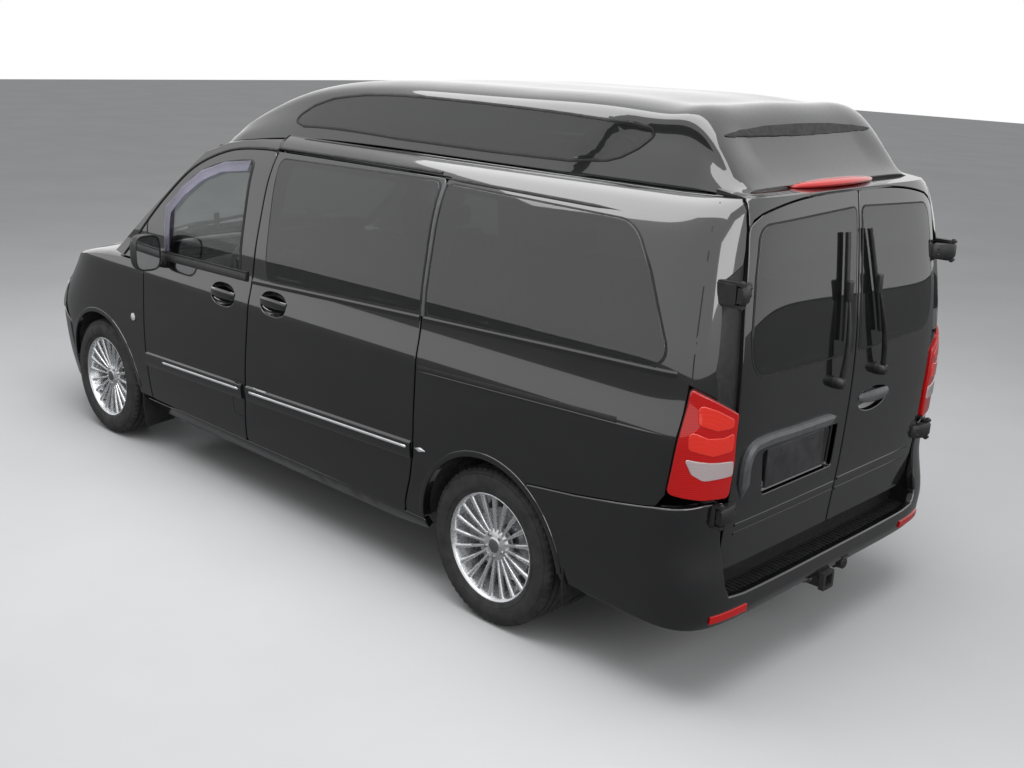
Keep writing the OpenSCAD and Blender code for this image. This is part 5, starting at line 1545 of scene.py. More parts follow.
def mirrors():
    for side, name in ((1, "left"), (-1, "right")):
        p = Piece("mirror_%s_housing" % name)
        rings = []
        for t in np.linspace(0, 1, 13):
            x = .92 + .13 * t
            grow = (1 - (2 * max(t - .35, 0) / 1.3) ** 2.2) ** .5 if t > .35 else 1.
            wide, tall = .072 * grow, .094 * grow
            ring = []
            for a in np.linspace(0, 2 * pi, 30, endpoint=False):
                c, s = cos(a), sin(a)
                ring.append((x, side * (1.046 + wide * np.sign(c) * abs(c) ** .55 - .01 * t),
                             1.2 + tall * np.sign(s) * abs(s) ** .55))
            rings.append(ring)
        inner = []
        for share, back in ((.93, .0), (.9, .012)):
            c = np.mean(rings[0], 0)
            inner.append(c + (np.array(rings[0]) - c) * share + (back, 0, 0))
        p.add(loft(inner[::-1] + rings), "black_trim")
        c = np.mean(rings[0], 0)
        glass = c + (np.array(rings[0]) - c) * .9
        p.add(loft([glass + (.004, 0, 0), glass + (.013, 0, 0)]), "mirror_silver")
        foot = [(.985, side * .905, 1.135), (.985, side * .95, 1.125), (.985, side * 1.0, 1.135),
                (.985, side * 1.03, 1.16)]
        p.add(tube(foot, (.032, .028, .026, .024), 16, flat=.7), "black_trim")
        base = rounded([(1.06, 1.11), (1.06, 1.16), (.93, 1.18), (.93, 1.115)], .02)
        shell = panel(side_skin, base, step=.03, thick=.014, roll=.004, lift=.012, sign=-1)
        p.add(shell if side > 0 else mirrored(shell), "black_trim")
        p.make("front_door_" + name, "black_plastic", "mirror_" + name)


# Rear doors, lamps and bumper.
REAR_LOW = .512


def rear_half(z):
    return .722 * rear_edge_share(np.asarray(z) / GUTTER)


def rear_top(y):
    return 1.857 - .05 * (abs(y) / .61) ** 3


def rear_door_outline(left):
    if left:
        ys = np.linspace(.6, REAR_SPLIT + .004, 18)
        edge = [(float(rear_half(z)), z) for z in np.linspace(REAR_LOW, 1.775, 26)]
    else:
        ys = np.linspace(-.6, REAR_SPLIT - .004, 18)
        edge = [(-float(rear_half(z)), z) for z in np.linspace(REAR_LOW, 1.775, 26)]
    points = edge + [(y, rear_top(y)) for y in ys] + [(ys[-1], REAR_LOW)]
    return rounded(points, [.03] + [0] * 24 + [.05] + [.05] + [0] * 16 + [.012, .012])


def rear_glass_outline(left):
    inner = -.02 if left else -.07
    side = 1 if left else -1
    loop = [(inner, 1.243), (inner, 1.794), (side * .614, 1.772), (side * .65, 1.6), (side * .673, 1.4),
            (side * .662, 1.253)]
    return rounded(loop, [.02, .02, .06, .1, .1, .09])


def cup(skin, loop, depth, sign, wall=.004):
    """A shallow tray sunk into the skin."""
    loop = spread(loop, .03)
    wide = turned(loop, True)
    wide = wide - inwards(wide) * wall
    loop = turned(loop, True)
    n, _, _ = facing(skin, loop, sign)
    n2, _, _ = facing(skin, wide, sign)
    small = loop + inwards(loop) * min(.008, depth * .3)
    n3, _, _ = facing(skin, small, sign)
    rings = [skin(small) - n3 * depth, skin(loop) - n * (depth - .006), skin(loop) - n * .002,
             skin(wide) - n2 * .004, skin(wide) - n2 * (depth + wall)]
    return loft(rings)


def smooth_line(points, count):
    """An open curve through the points."""
    p = np.array(points, float)
    run = np.concatenate([[0], np.cumsum(np.linalg.norm(np.diff(p, axis=0), axis=1))])
    t = np.linspace(0, run[-1], count)
    return np.stack([curve_through(list(zip(run, p[:, i])))(t) for i in range(p.shape[1])], 1)


def wiper(piece, pivot, tip, skin, sign=-1, out=.03):
    """A rear wiper: a domed pivot cover, an arm and a blade lying on the glass."""
    pivot, tip = np.array(pivot, float), np.array(tip, float)
    along = tip - pivot
    t = np.linspace(0, 1, 22)
    path = pivot + along * t[:, None]
    n, _, _ = facing(skin, path, sign)
    p = skin(path)
    arm = p[:14] + n[:14] * (out - .004 + .012 * np.sin(np.linspace(0, pi, 14)))[:, None]
    piece.add(tube(arm, np.linspace(.013, .007, 14), flat=.6), "black_trim")
    head = path[0]
    n0, _, _ = facing(skin, np.array([head]), sign)
    piece.add(lathe([(.0005, .045), (.016, .043), (.023, .034), (.025, .018), (.026, -.004), (.0005, -.004)],
                    skin(np.array([head]))[0], n0[0], 28), "black_trim")
    side = np.array([0, along[1], -along[0]]) / np.linalg.norm(along)
    blade = p[6:] + n[6:] * (out - .008) + side * 0
    piece.add(tube(blade, .0085, flat=1.1, sides=10), "black_trim")
    piece.add(tube(p[6:] + n[6:] * .011, .0035, sides=8), "rubber_seal")
    clip = p[13] + n[13] * (out + .002)
    piece.add(block(clip - (.012, .014, .04), clip + (.012, .014, .04), .007), "black_trim")


def hinge(door, body, side, z):
    """An external hinge: the strap goes with the door, the bracket stays on the body."""
    ax, ay = -2.5374, .792
    pin = [(.0005, .05), (.006, .05), (.008, .047), (.008, -.047), (.006, -.05), (.0005, -.05)]
    door.add(lathe(pin, (ax, side * ay, z), (0, 0, 1), 20), "black_trim")
    rings = []
    for y, out, tall in ((.682, .002, .022), (.69, .012, .028), (.715, .026, .03), (.74, .05, .031),
                         (.775, .09, .031), (.796, .09, .031),
                         (.803, .09, .026)):
        skin_x = float(rear_x(side * y, z))
        back = max(skin_x - out, ax - .012)
        deep = min(skin_x + .004, ax + .03 + max(0, .775 - y) * 1.2)
        if y > .77:
            deep = ax + .011
        rings.append([(back + .004, side * y, z - tall), (back, side * y, z - tall + .006),
                      (back, side * y, z + tall - .006),
                      (back + .004, side * y, z + tall), (deep, side * y, z + tall),
                      (deep, side * y, z - tall)])
    door.add(loft(rings), "black_trim")
    for drop in (-.013, .013):
        spot = (float(rear_x(side * .706, z)) - .021, side * .706, z + drop)
        door.add(lathe([(.0005, .004), (.004, .004), (.0055, .002), (.0055, -.006), (.0005, -.006)], spot,
                       (-1, 0, 0), 12), "black_trim")
    root = float(rear_x(side * .795, z)) + .012
    for part in (-1, 1):
        rings = []
        for x, y0, y1 in ((ax - .012, .784, .8), (ax - .006, .78, .804), (ax + .03, .776, .806),
                          (root, .774, .808)):
            low, high = z + part * .0335, z + part * .044
            rings.append([(x, side * y0, low), (x, side * y0, high), (x, side * y1, high),
                          (x, side * y1, low)])
        body.add(loft(rings), "black_trim")
    rings = []
    for x, y0, y1, tall in ((ax + .016, .798, .804, .036), (ax + .024, .794, .808, .042),
                            (root, .79, .812, .043)):
        rings.append([(x, side * y0, z - tall), (x, side * y0, z + tall), (x, side * y1, z + tall - .006),
                      (x, side * y1, z - tall + .006)])
    body.add(loft(rings), "black_trim")


def rear_doors():
    body = Piece("rear_hinge_brackets")
    for left, name in ((True, "rear_door_left"), (False, "rear_door_right")):
        side = 1 if left else -1
        p, g, w = Piece(name + "_panel"), Piece(name.replace("door",
                "glass") + "_pane"), Piece(name.replace("door", "wiper") + "_arm")
        opening = rear_glass_outline(left)
        holes = [shrink(opening, .012)]
        if left:
            tray = rounded([(.02, .775), (.02, .958), (.552, .958), (.512, .775)], [.012, .012, .02, .02])
            holes.append(tray)
            p.add(cup(rear_skin, tray, .026, -1), "gloss_paint")
        else:
            grip = [(-.24 + .118 * cos(a), 1.014 + .05 * sin(a)) for a in np.linspace(0, 2 * pi, 44,
                                                                                      endpoint=False)]
            holes.append(grip)
            p.add(cup(rear_skin, grip, .03, -1), "gloss_paint")
            bar = np.array([(-.125 - .235 * t, 1.03 - .006 * t) for t in np.linspace(0, 1, 18)])
            n, _, _ = facing(rear_skin, bar, -1)
            arc = np.sin(np.linspace(0, pi, 18)) ** .5
            p.add(tube(rear_skin(bar) + n * (-.006 + .016 * arc)[:, None], .009 + .008 * arc, flat=1.5),
                  "grey_plastic")
        p.add(panel(rear_skin, rear_door_outline(left), holes, thick=.042, sign=-1), "gloss_paint",
              "cabin_trim")
        g.add(panel(rear_skin, opening, step=.05, thick=.006, roll=.002, lift=.003, sign=-1), "privacy_glass")
        p.add(strip(rear_skin, turned(shrink(opening, -.003), True),
                    [(-.004, -.006), (-.004, .0015), (.004, .0015), (.004, -.006)], sign=-1, closed=True),
                    "rubber_seal")
        reach = (.66, REAR_SPLIT + .012) if left else (REAR_SPLIT - .012, -.66)
        ys = np.linspace(*reach, 30)
        for z, wide, tall in ((.7 if not left else .69, .012, .004), (.655, .01, .003)):
            p.add(strip(rear_skin, np.array([(y, z) for y in ys]), flat_bar(wide, tall, round_off=.9),
                        sign=-1),
                  "gloss_paint")
        if left:
            bow = smooth_line([(.648, .79), (.655, .88), (.652, .95), (.632, .984), (.58, .998), (.4, .996),
                               (.2, .993), (.04, .989)], 50)
            p.add(strip(rear_skin, bow, [(-.02, -.006), (-.022, .012), (-.014, .021), (.008, .024),
                                         (.02, .014), (.023, -.006)], sign=-1,
                        taper=.06), "grey_plastic")
            spot = rear_skin(np.array([(.278, .866)]))[0]
            p.add(block(spot + (.016, -.2, -.078), spot + (.03, .2, .078), .005), "plate_enamel")
            for y in (-.11, .11):
                p.add(lathe([(.0005, .003), (.004, .003), (.006, .001), (.006, -.004), (.0005, -.004)],
                            spot + (.017, y, .055), (-1, 0, 0), 14), "black_trim")
        seal = shrink(rear_door_outline(left), .014)
        p.add(strip(rear_skin, turned(seal, True), [(-.006, -.05), (-.006, -.041), (.006, -.041),
                                                    (.006, -.05)], sign=-1,
                    closed=True), "rubber_seal")
        lining = rounded([(side * .09, .56), (side * .09, 1.22), (side * .63, 1.22), (side * .63, .56)], .05)
        p.add(panel(rear_skin, lining, step=.05, thick=.014, roll=.006, lift=-.042, sign=-1), "cabin_trim")
        for z in (.764, 1.563):
            hinge(p, body, side, z)
        if left:
            wiper(w, (.095, 1.14), (.075, 1.71), rear_skin)
        else:
            wiper(w, (-.235, 1.14), (-.09, 1.71), rear_skin)
        p.make(name, "body_paint", name)
        g.make(name, "dark_glass", name.replace("door", "glass"))
        w.make(name, "black_plastic", name.replace("door", "wiper"))
    body.make("van", "black_plastic")


def rear_lamps():
    p = Piece("tail_lamp_lenses")
    def q_at(place, z):
        """A place on the lamp, given by its x where negative and by its y otherwise."""
        return float(tail_at_x(place, z) if place < 0 else tail_at_y(place, z)), z
    loop = rounded([q_at(*c) for c in ((-2.437, 1.236), (.85, 1.205), (.733, 1.137), (.73, .95), (.738, .822),
                                       (.857, .833),
                                       (-2.405, .855))], [.012, .1, .02, .1, .02, .1, .02])
    p.both(panel(tail_skin, loop, step=.02, thick=.05, roll=.007, lift=.012, sign=-1, turns=4), "ruby_lens",
           "black_trim")
    band = rounded([q_at(*c) for c in ((-2.448, .992), (.84, .975), (.742, .966), (.738, .909), (.866, .909),
                                       (-2.468, .936))],
                   [.008, .1, .01, .012, .04, .02])
    p.both(panel(tail_skin, band, step=.02, thick=.012, roll=.004, lift=.0155, sign=-1), "clear_lens")
    # The two inner loops are painted glints: raised patches of a brighter red on the lens.
    for corners, soft in ((((-2.462, 1.187), (.83, 1.163), (.757, 1.122), (.757, 1.09), (.83, 1.088),
                            (.888, 1.112)), .03),
                          (((-2.452, 1.094), (.86, 1.066), (.8, 1.062), (.75, 1.074), (.75, 1.004),
                            (.84, .998), (-2.456, 1.024)), .028)):
        glint_patch = rounded([q_at(*c) for c in corners], soft * .6)
        p.both(panel(tail_skin, glint_patch, step=.02, thick=.01, roll=.004, lift=.0145, sign=-1), "ember_lens")
    p.both(panel(tail_skin, shrink(loop, -.006), step=.04, thick=.03, roll=.003, lift=-.006, sign=-1),
           "black_trim")
    p.make("van", "red_lens", "tail_lamps")
    b = Piece("high_brake_lamp")
    rings = []
    for t in np.linspace(-1, 1, 41):
        y = .3 * t
        tall = .0165 * max(1 - t * t, .003) ** .5 + .001
        z = 1.884 - .005 * t * t
        x = -2.4 - .02 * (1 - t * t)
        ring = [np.array([x + .02 - .042 * max(1 - t * t, .002) ** .5 * max(cos(a), -.35), y,
                          z + tall * sin(a)])
                for a in np.linspace(0, 2 * pi, 20, endpoint=False)]
        rings.append(ring)
    b.add(loft(rings), "ruby_lens")
    ys = np.linspace(.6, -.6, 31)
    edge = [(y, rear_top(y) + .006) for y in ys]
    header = edge + [(-.645, 1.796), (-.672, 1.765), (-.662, 1.83), (-.648, 1.868), (.648, 1.868),
                     (.662, 1.83), (.672, 1.765), (.645, 1.796)]
    b.add(panel(rear_skin, np.array(header), step=.03, thick=.02, roll=.003, sign=-1), "gloss_paint")
    shelf = []
    for y in np.linspace(-.648, .648, 31):
        x = float(rear_x(y, 1.866)) + .003
        shelf.append([(x, y, 1.867), (x, y, 1.855), (-2.3, y, 1.86), (-2.3, y, 1.884)])
    b.add(loft(shelf), "gloss_paint")
    b.make("van", "red_lens")


def bumper_depth(z):
    z = np.asarray(z)
    return tail_depth(z) + .004 + .064 * ease((.7 - z) / .27) - .02 * ease((.36 - z) / .06)


bumper_skin, bumper_at_y, bumper_at_x = corner_skin(TAIL_START, bumper_depth, TAIL_POWER, -1)


def rear_bumper():
    p = Piece("rear_bumper_cover")
    half = [(-1.757, .7)] + arch_line("rear", 122, 178, 18) + [(-1.93, .335)]
    half += [(float(bumper_at_x(-2.3, .32)), .322), (float(bumper_at_y(.8, .315)), .316),
             (float(bumper_at_y(.4, .314)), .314)]
    centre = float(bumper_at_y(0, .4))
    top = [(float(bumper_at_x(-2.0, .737)), .7305), (float(bumper_at_x(-2.2, .77)), .7635),
           (float(bumper_at_x(-2.36, .79)), .793),
           (float(bumper_at_y(.84, .8)), .812), (float(bumper_at_y(.76, .8)), .806),
           (float(bumper_at_y(.737, .79)), .79),
           (float(bumper_at_y(.737, .6)), .6), (float(bumper_at_y(.733, .48)), .48),
           (float(bumper_at_y(.71, .435)), .435),
           (float(bumper_at_y(.62, .426)), .426), (float(bumper_at_y(.3, .422)), .422)]

    def over(points):
        return [(2 * centre - q, v) for q, v in points]
    outline = half + [(centre, .314)] + over(half)[::-1] + over(top) + [(centre, .422)] + top[::-1]
    p.add(panel(bumper_skin, np.array(outline), step=.028, thick=.03, roll=.008, sign=-1, turns=4),
          "gloss_paint", "underbody_coat")
    ys = np.linspace(-.73, .73, 50)
    tread = []
    for y in ys:
        back = float(rear_x(y, .5)) - .052
        front = float(rear_x(y, .5)) + .06
        tread.append([(back, y, .414), (front, y, .418), (front, y, .398), (back, y, .39)])
    p.add(loft(tread), "black_trim")
    wall = []
    for y in ys:
        front = float(rear_x(y, .5)) + .055
        wall.append([(front, y, .41), (front, y, .535), (front + .02, y, .535), (front + .02, y, .41)])
    p.add(loft(wall), "black_trim")
    for side in (1, -1):
        a = float(bumper_at_y(.8, .37))
        b = float(bumper_at_y(.6, .37))
        path = np.array([(a + (b - a) * t, .362) for t in np.linspace(0, 1, 14)])
        shell = strip(bumper_skin, path, flat_bar(.03, .006), sign=-1)
        p.add(shell if side > 0 else mirrored(shell), "ruby_lens")
    q = Piece("bumper_step_ribs")
    q.add(ribs("step_rib", 56, (-.68, .68), lambda y: (float(rear_x(y, .5)) + .004, y, .4165)), "black_trim")
    p.make("van", "body_paint", "rear_bumper")
    q.make("van", "black_plastic")


def ribs(name, count, span, place):
    """Short anti-slip ribs repeated along a curve."""
    ys = np.linspace(*span, count)
    line_mesh = bpy.data.meshes.new(name + "_line")
    line_mesh.from_pydata([place(y) for y in ys], [], [])
    shell = block((-.042, -.003, -.002), (.038, .003, .0035), .0015, 2)
    return copies_on(name, line_mesh, shell)


def tow_hitch():
    p = Piece("tow_receiver")
    outer, inner = .0325, .0256
    def ring(x, h, r=.006):
        pts = []
        for sy, sz, a0 in ((1, 1, 0), (-1, 1, 90), (-1, -1, 180), (1, -1, 270)):
            for a in np.radians(a0 + np.linspace(0, 90, 4)):
                pts.append((x, sy * (h - r) + r * cos(a), .285 + sz * (h - r) + r * sin(a)))
        return pts
    p.add(loft([ring(-2.2, inner), ring(-2.57, inner), ring(-2.57, outer), ring(-2.2, outer)], caps=False,
               loop=True),
          "underbody_coat")
    p.add(loft([ring(-2.546, outer - .001), ring(-2.57, outer - .001), ring(-2.57, outer + .007),
                ring(-2.546, outer + .007)],
               caps=False, loop=True), "underbody_coat")
    p.add(block((-2.345, -.56, .27), (-2.285, .56, .325), .008), "underbody_coat")
    for side in (1, -1):
        p.add(block((-2.34, side * .52, .25), (-2.14, side * .565, .47), .008), "underbody_coat")
        t = np.linspace(0, pi, 14)
        loop = np.stack([-2.46 - .055 * np.sin(t), side * (.036 + .05 * (1 - np.cos(t)) / 2 * 1.6),
                         np.full(14, .29)], 1)
        p.add(tube(loop, .008, 12), "underbody_coat")
        p.add(lathe([(.0005, .024), (.011, .024), (.013, .021), (.013, .002), (.0085, .0), (.0085, -.0),
                     (.0005, 0)],
                    (-2.505, side * .0325, .285), (0, side, 0), 6), "brushed_steel")
    p.add(block((-2.53, -.175, .288), (-2.47, -.115, .335), .006), "black_trim")
    p.add(lathe([(.0005, .012), (.02, .012), (.025, .008), (.027, -.02), (.0005, -.02)],
                (-2.545, -.145, .312), (-1, 0, 0), 32),
          "black_trim")
    p.add(block((-2.565, -.17, .338), (-2.5, -.12, .345), .003), "black_trim")
    p.add(block((-2.5, -.03, .325), (-2.3, .03, .335), .003), "underbody_coat")
    p.make("van", "chassis", "tow_hitch")


# Wheels.
def tyre_profile():
    half = [(.232, .094), (.2345, .1015), (.245, .1065), (.259, .111), (.275, .1125), (.292, .1115),
            (.31, .1075),
            (.322, .1015), (.3305, .094), (.3355, .085), (.3375, .076), (.338, .069), (.331, .0685),
            (.331, .0615),
            (.3388, .061), (.3396, .034), (.3325, .0335), (.3325, .0255), (.34, .025), (.34, 0)]
    whole = half + [(r, -a) for r, a in half[-2::-1]]
    inside_line = [(.2385, -.086), (.25, -.098), (.275, -.103), (.3, -.1), (.318, -.08), (.322, -.04),
                   (.3225, 0),
                   (.322, .04), (.318, .08), (.3, .1), (.275, .103), (.25, .098), (.2385, .086)]
    return whole + inside_line


def rim_profile():
    line = [(.2155, .1005), (.219, .0985), (.2215, .096), (.222, .092), (.2185, .088), (.2135, .082),
            (.2095, .074),
            (.2055, .055), (.1975, .03), (.1945, -.02), (.199, -.06), (.206, -.085), (.213, -.0975),
            (.2185, -.0985),
            (.221, -.096), (.2225, -.0915), (.2225, -.1005), (.2155, -.1045), (.2075, -.1025), (.199, -.09),
            (.1925, -.065), (.188, -.02), (.19, .03), (.198, .052), (.2035, .074), (.2075, .0905),
            (.2115, .0985)]
    return [(r * 1.072, a) for r, a in line]


def spoke():
    rings = []
    for t in np.linspace(0, 1, 12):
        r = .05 + .171 * t
        wide = .0064 + .0056 * t ** 1.6
        front = .066 + .022 * t ** 1.7 + .006 * sin(pi * t)
        deep = .026 - .004 * t
        ring = []
        for a in np.linspace(0, 2 * pi, 12, endpoint=False):
            c, s = cos(a), sin(a)
            ring.append((r, front - deep / 2 + deep / 2 * np.sign(s) * abs(s) ** .7,
                         wide * np.sign(c) * abs(c) ** .75))
        rings.append(ring)
    return loft(rings)


def tread_lug():
    bm = bmesh.new()
    bmesh.ops.create_cube(bm, size=1)
    for v in bm.verts:
        v.co = Vector((.3365 + v.co.x * .0085, .0825 + v.co.y * .0235, v.co.z * .0155 + (v.co.y) * .006))
        if v.co.y > .085:
            v.co.x -= .006
    bmesh.ops.bevel(bm, geom=bm.edges[:], offset=.0016, segments=1, affect="EDGES", profile=.5)
    return from_bmesh(bm)


def wheel_parts():
    tyre, rim = Piece("tyre_parts"), Piece("rim_parts")
    tyre.add(lathe(tyre_profile(), (0, 0, 0), (0, 1, 0), 120), "tyre_rubber")
    lug = tread_lug()
    lugs = copies_round("tread_lugs_outer", 66, lug, "tyre_rubber")
    tyre.add(lugs, "tyre_rubber")
    tyre.add(copies_round("tread_lugs_inner", 66, mirrored(lug), "tyre_rubber", .05), "tyre_rubber")
    for radius, a in ((.2535, .1102), (.315, .1062)):
        tyre.add(lathe([(radius - .0022, a - .003), (radius, a + .0012), (radius + .0022, a - .003)],
                       (0, 0, 0), (0, 1, 0), 96),
                 "tyre_rubber")
    rim.add(lathe(rim_profile(), (0, 0, 0), (0, 1, 0), 96), "bright_alloy")
    rim.add(copies_round("rim_spokes", 20, spoke(), "bright_alloy"), "bright_alloy")
    hub = [(.0005, .03), (.0005, .0735), (.03, .0735), (.034, .071), (.038, .0695), (.062, .0665),
           (.07, .062), (.075, .05),
           (.074, .03)]
    rim.add(lathe(hub, (0, 0, 0), (0, 1, 0), 64), "bright_alloy")
    cap = [(.0005, .0735), (.0005, .0795), (.02, .0785), (.0275, .0765), (.0295, .0738), (.0295, .072)]
    rim.add(lathe(cap, (0, 0, 0), (0, 1, 0), 48), "grey_plastic")
    socket = moved(lathe([(.0005, .0665), (.0115, .0665), (.0125, .0676), (.0125, .064), (.0005, .064)],
                         (0, 0, 0),
                         (0, 1, 0), 20), Matrix.Translation((.0505, 0, 0)))
    rim.add(copies_round("bolt_seats", 5, socket, "cast_iron", .3), "cast_iron")
    bolt = moved(lathe([(.0005, .0745), (.0065, .0745), (.008, .0728), (.008, .064), (.0005, .064)],
                       (0, 0, 0), (0, 1, 0), 6),
                 Matrix.Translation((.0505, 0, 0)))
    rim.add(copies_round("wheel_bolts", 5, bolt, "brushed_steel", .3), "brushed_steel")
    rim.add(lathe([(.06, .012), (.15, .012), (.152, .01), (.152, -.012), (.15, -.014), (.06, -.014)],
                  (0, 0, 0), (0, 1, 0), 72),
            "brushed_steel")
    rim.add(tube([(.212, .07, .0), (.203, .078, .0), (.197, .084, 0)], .0035, 10), "black_trim")
    return tyre, rim


def wheels():
    tyre, rim = wheel_parts()
    for end, axle, track in (("front", AXLES[0], TRACKS[0]), ("rear", AXLES[1], TRACKS[1])):
        for side, name in ((1, "left"), (-1, "right")):
            place = Matrix.Translation((axle, side * track, TYRE_R)) @ Matrix.Diagonal((side, side, 1, 1))
            for parts, node, slot in ((tyre, "tyre", "tyre"), (rim, "rim", "alloy")):
                p = Piece("%s_%s_%s_dressed" % (node, end, name))
                for points, normals in zip(parts.points, parts.normals):
                    m = np.array(place)
                    p.points.append(points @ m[:3, :3].T + m[:3, 3])
                    p.normals.append(normals @ m[:3, :3].T)
                p.faces, p.index, p.finishes, p.count = parts.faces, parts.index, parts.finishes, parts.count
                p.make("wheel_%s_%s" % (end, name), slot, "%s_%s_%s" % (node, end, name))


# Cabin and underbody.
SEATS = ((.2313, .4), (.2313, -.4), (-.7001, .4), (-.7001, -.4), (-1.56, .26), (-1.56, -.26))
FLOOR = .472
PAD_PRESSURE, PAD_STEPS = 4, 20
BACK_FOOT, BACK_RISE, BACK_OUT = np.array((-.012, 0, .262)), np.array((-.1924, 0, .9813)), np.array((.9813, 0,
                                                                                                     .1924))
COLUMN, COLUMN_AXIS = np.array((.8, .4, 1.06)), np.array((-.766044, 0, .642788))


def recoat(finish, *nodes):
    """Gives a node that keeps its own mesh a better finish."""
    for node in nodes:
        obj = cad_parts[node]
        mat = finish_of(finish)
        if not obj.material_slots:
            raise RuntimeError("no material slot on " + node)
        for slot in obj.material_slots:
            slot.material = mat


def flap_skin(x0):
    """An upright sheet across the body whose foot trails a little to the rear."""
    def skin(uv):
        y, z = uv[:, 0], uv[:, 1]
        return np.stack([x0 - .3 * np.clip(.42 - z, 0, 1) ** 2, y, z], 1)
    return skin


def underbody():
    recoat("underbody_coat", "floor_pan", "front_subframe", "rear_axle", "fuel_tank")
    recoat("cast_iron", "engine", "knuckle_left", "knuckle_right")
    recoat("brushed_steel", "exhaust")
    p = Piece("mud_flap_sheets")
    for x0, low, high, inner, outer in ((-1.95, .235, .43, .7, .94), (1.262, .14, .36, .7, .925)):
        loop = rounded([(inner, high), (outer, high), (outer + .006, (low + high) / 2), (outer, low),
                        (inner + .05, low + .015),
                        (inner, low + .06)], [.008, .012, .03, .02, .02, .03])
        p.both(panel(flap_skin(x0), loop, step=.02, thick=.007, roll=.002, sign=-1), "rubber_seal")
        p.both(strip(flap_skin(x0), shrink(loop, .016), flat_bar(.005, .0025, round_off=.8), sign=-1,
                     closed=True), "rubber_seal")
        for y in (inner + .04, (inner + outer) / 2, outer - .04):
            p.both(lathe([(.0005, .005), (.008, .004), (.011, .001), (.011, -.004), (.0005, -.004)],
                         (x0 - .002, y, high - .022),
                         (-1, 0, 0), 16), "brushed_steel")
    p.make("van", "black_plastic", "mud_flaps")


def settled(obj):
    """The mesh of an object with its modifiers applied."""
    return bpy.data.meshes.new_from_object(obj.evaluated_get(bpy.context.evaluated_depsgraph_get()))


def swollen(name, shell, voxel, cap, rest):
    """A stuffed pad: remeshed, blown up as cloth, kept flat on its rest plane and smoothed once."""
    scene = bpy.context.scene
    pad = bpy.data.objects.new(name + "_pad", shell_mesh(name + "_pad", shell))
    scene.collection.objects.link(pad)
    remesh = pad.modifiers.new("Even cells", "REMESH")
    remesh.mode, remesh.voxel_size = "VOXEL", voxel
    mesh = settled(pad)
    pad.modifiers.clear()
    pad.data = mesh
    start = np.array(mesh_shell(mesh)[0])
    cloth = pad.modifiers.new("Stuffing", "CLOTH")
    cloth.settings.use_pressure = True
    cloth.settings.uniform_pressure_force = PAD_PRESSURE
    cloth.settings.effector_weights.gravity = 0
    for step in range(1, PAD_STEPS + 1):
        scene.frame_set(step)
    done = settled(pad)
    move = np.array(mesh_shell(done)[0]) - start
    size = np.linalg.norm(move, axis=1)[:, None]
    points = start + move * np.minimum(1, cap / np.maximum(size, 1e-9))
    pad.modifiers.clear()
    scene.frame_set(1)
    axis, level = rest
    points[:, axis] = np.maximum(points[:, axis], level)
    mesh.vertices.foreach_set("co", points.ravel())
    mesh.update()
    smooth = pad.modifiers.new("Smooth cover", "SUBSURF")
    smooth.levels = smooth.render_levels = 1
    final = mesh_shell(settled(pad))
    bpy.data.objects.remove(pad)
    return final


def channel(shell, face, along, at, depth=.006, width=.009):
    """A sewn channel pressed into the side of a pad that faces one way."""
    p = np.array(shell[0])
    high = p[:, face] > (p[:, face].min() + p[:, face].max()) / 2
    p[:, face] -= high * depth * np.exp(-((np.abs(p[:, along]) - at) / width) ** 2)
    return [p] + list(shell[1:])


def shifted(shell, x, y):
    return [shell[0] + (x, y, FLOOR)] + list(shell[1:])


def leaned(shell):
    """Takes a pad drawn upright, outwards along x, to the slope of the seat back."""
    p = np.array(shell[0])
    q = BACK_FOOT + p[:, :1] * BACK_OUT + p[:, 2:] * BACK_RISE
    q[:, 1] = p[:, 1]
    return [q] + list(shell[1:])


def seat_pads():
    squab = swollen("squab", block((.05, -.222, .228), (.45, .222, .305), .035, 4), .014, .022, (2, .224))
    squab = channel(squab, 2, 1, .14)
    for at in (.2, .33):
        squab = channel(squab, 2, 0, at, .004)
    squab[0][:, 2] += (squab[0][:, 0] - .25) * .07
    back = swollen("back", block((.022, -.218, .065), (.082, .218, .565), .028, 4), .014, .02, (0, .018))
    back = channel(back, 0, 1, .135)
    for at in (.2, .33, .45):
        back = channel(back, 0, 2, at, .004)
    rest = swollen("rest", block((.02, -.11, .602), (.082, .11, .712), .025, 4), .01, .012, (0, .012))
    for i, (x, y) in enumerate(SEATS):
        for name, shell, fill in (("seat_cushion", squab, .8), ("seat_back", leaned(back), .8),
                                  ("head_rest", leaned(rest), .9)):
            p = Piece("%s_%d" % (name, i + 1))
            p.add(shifted(shell, x, y), "seat_cloth")
            p.make("van", "seat_fabric")


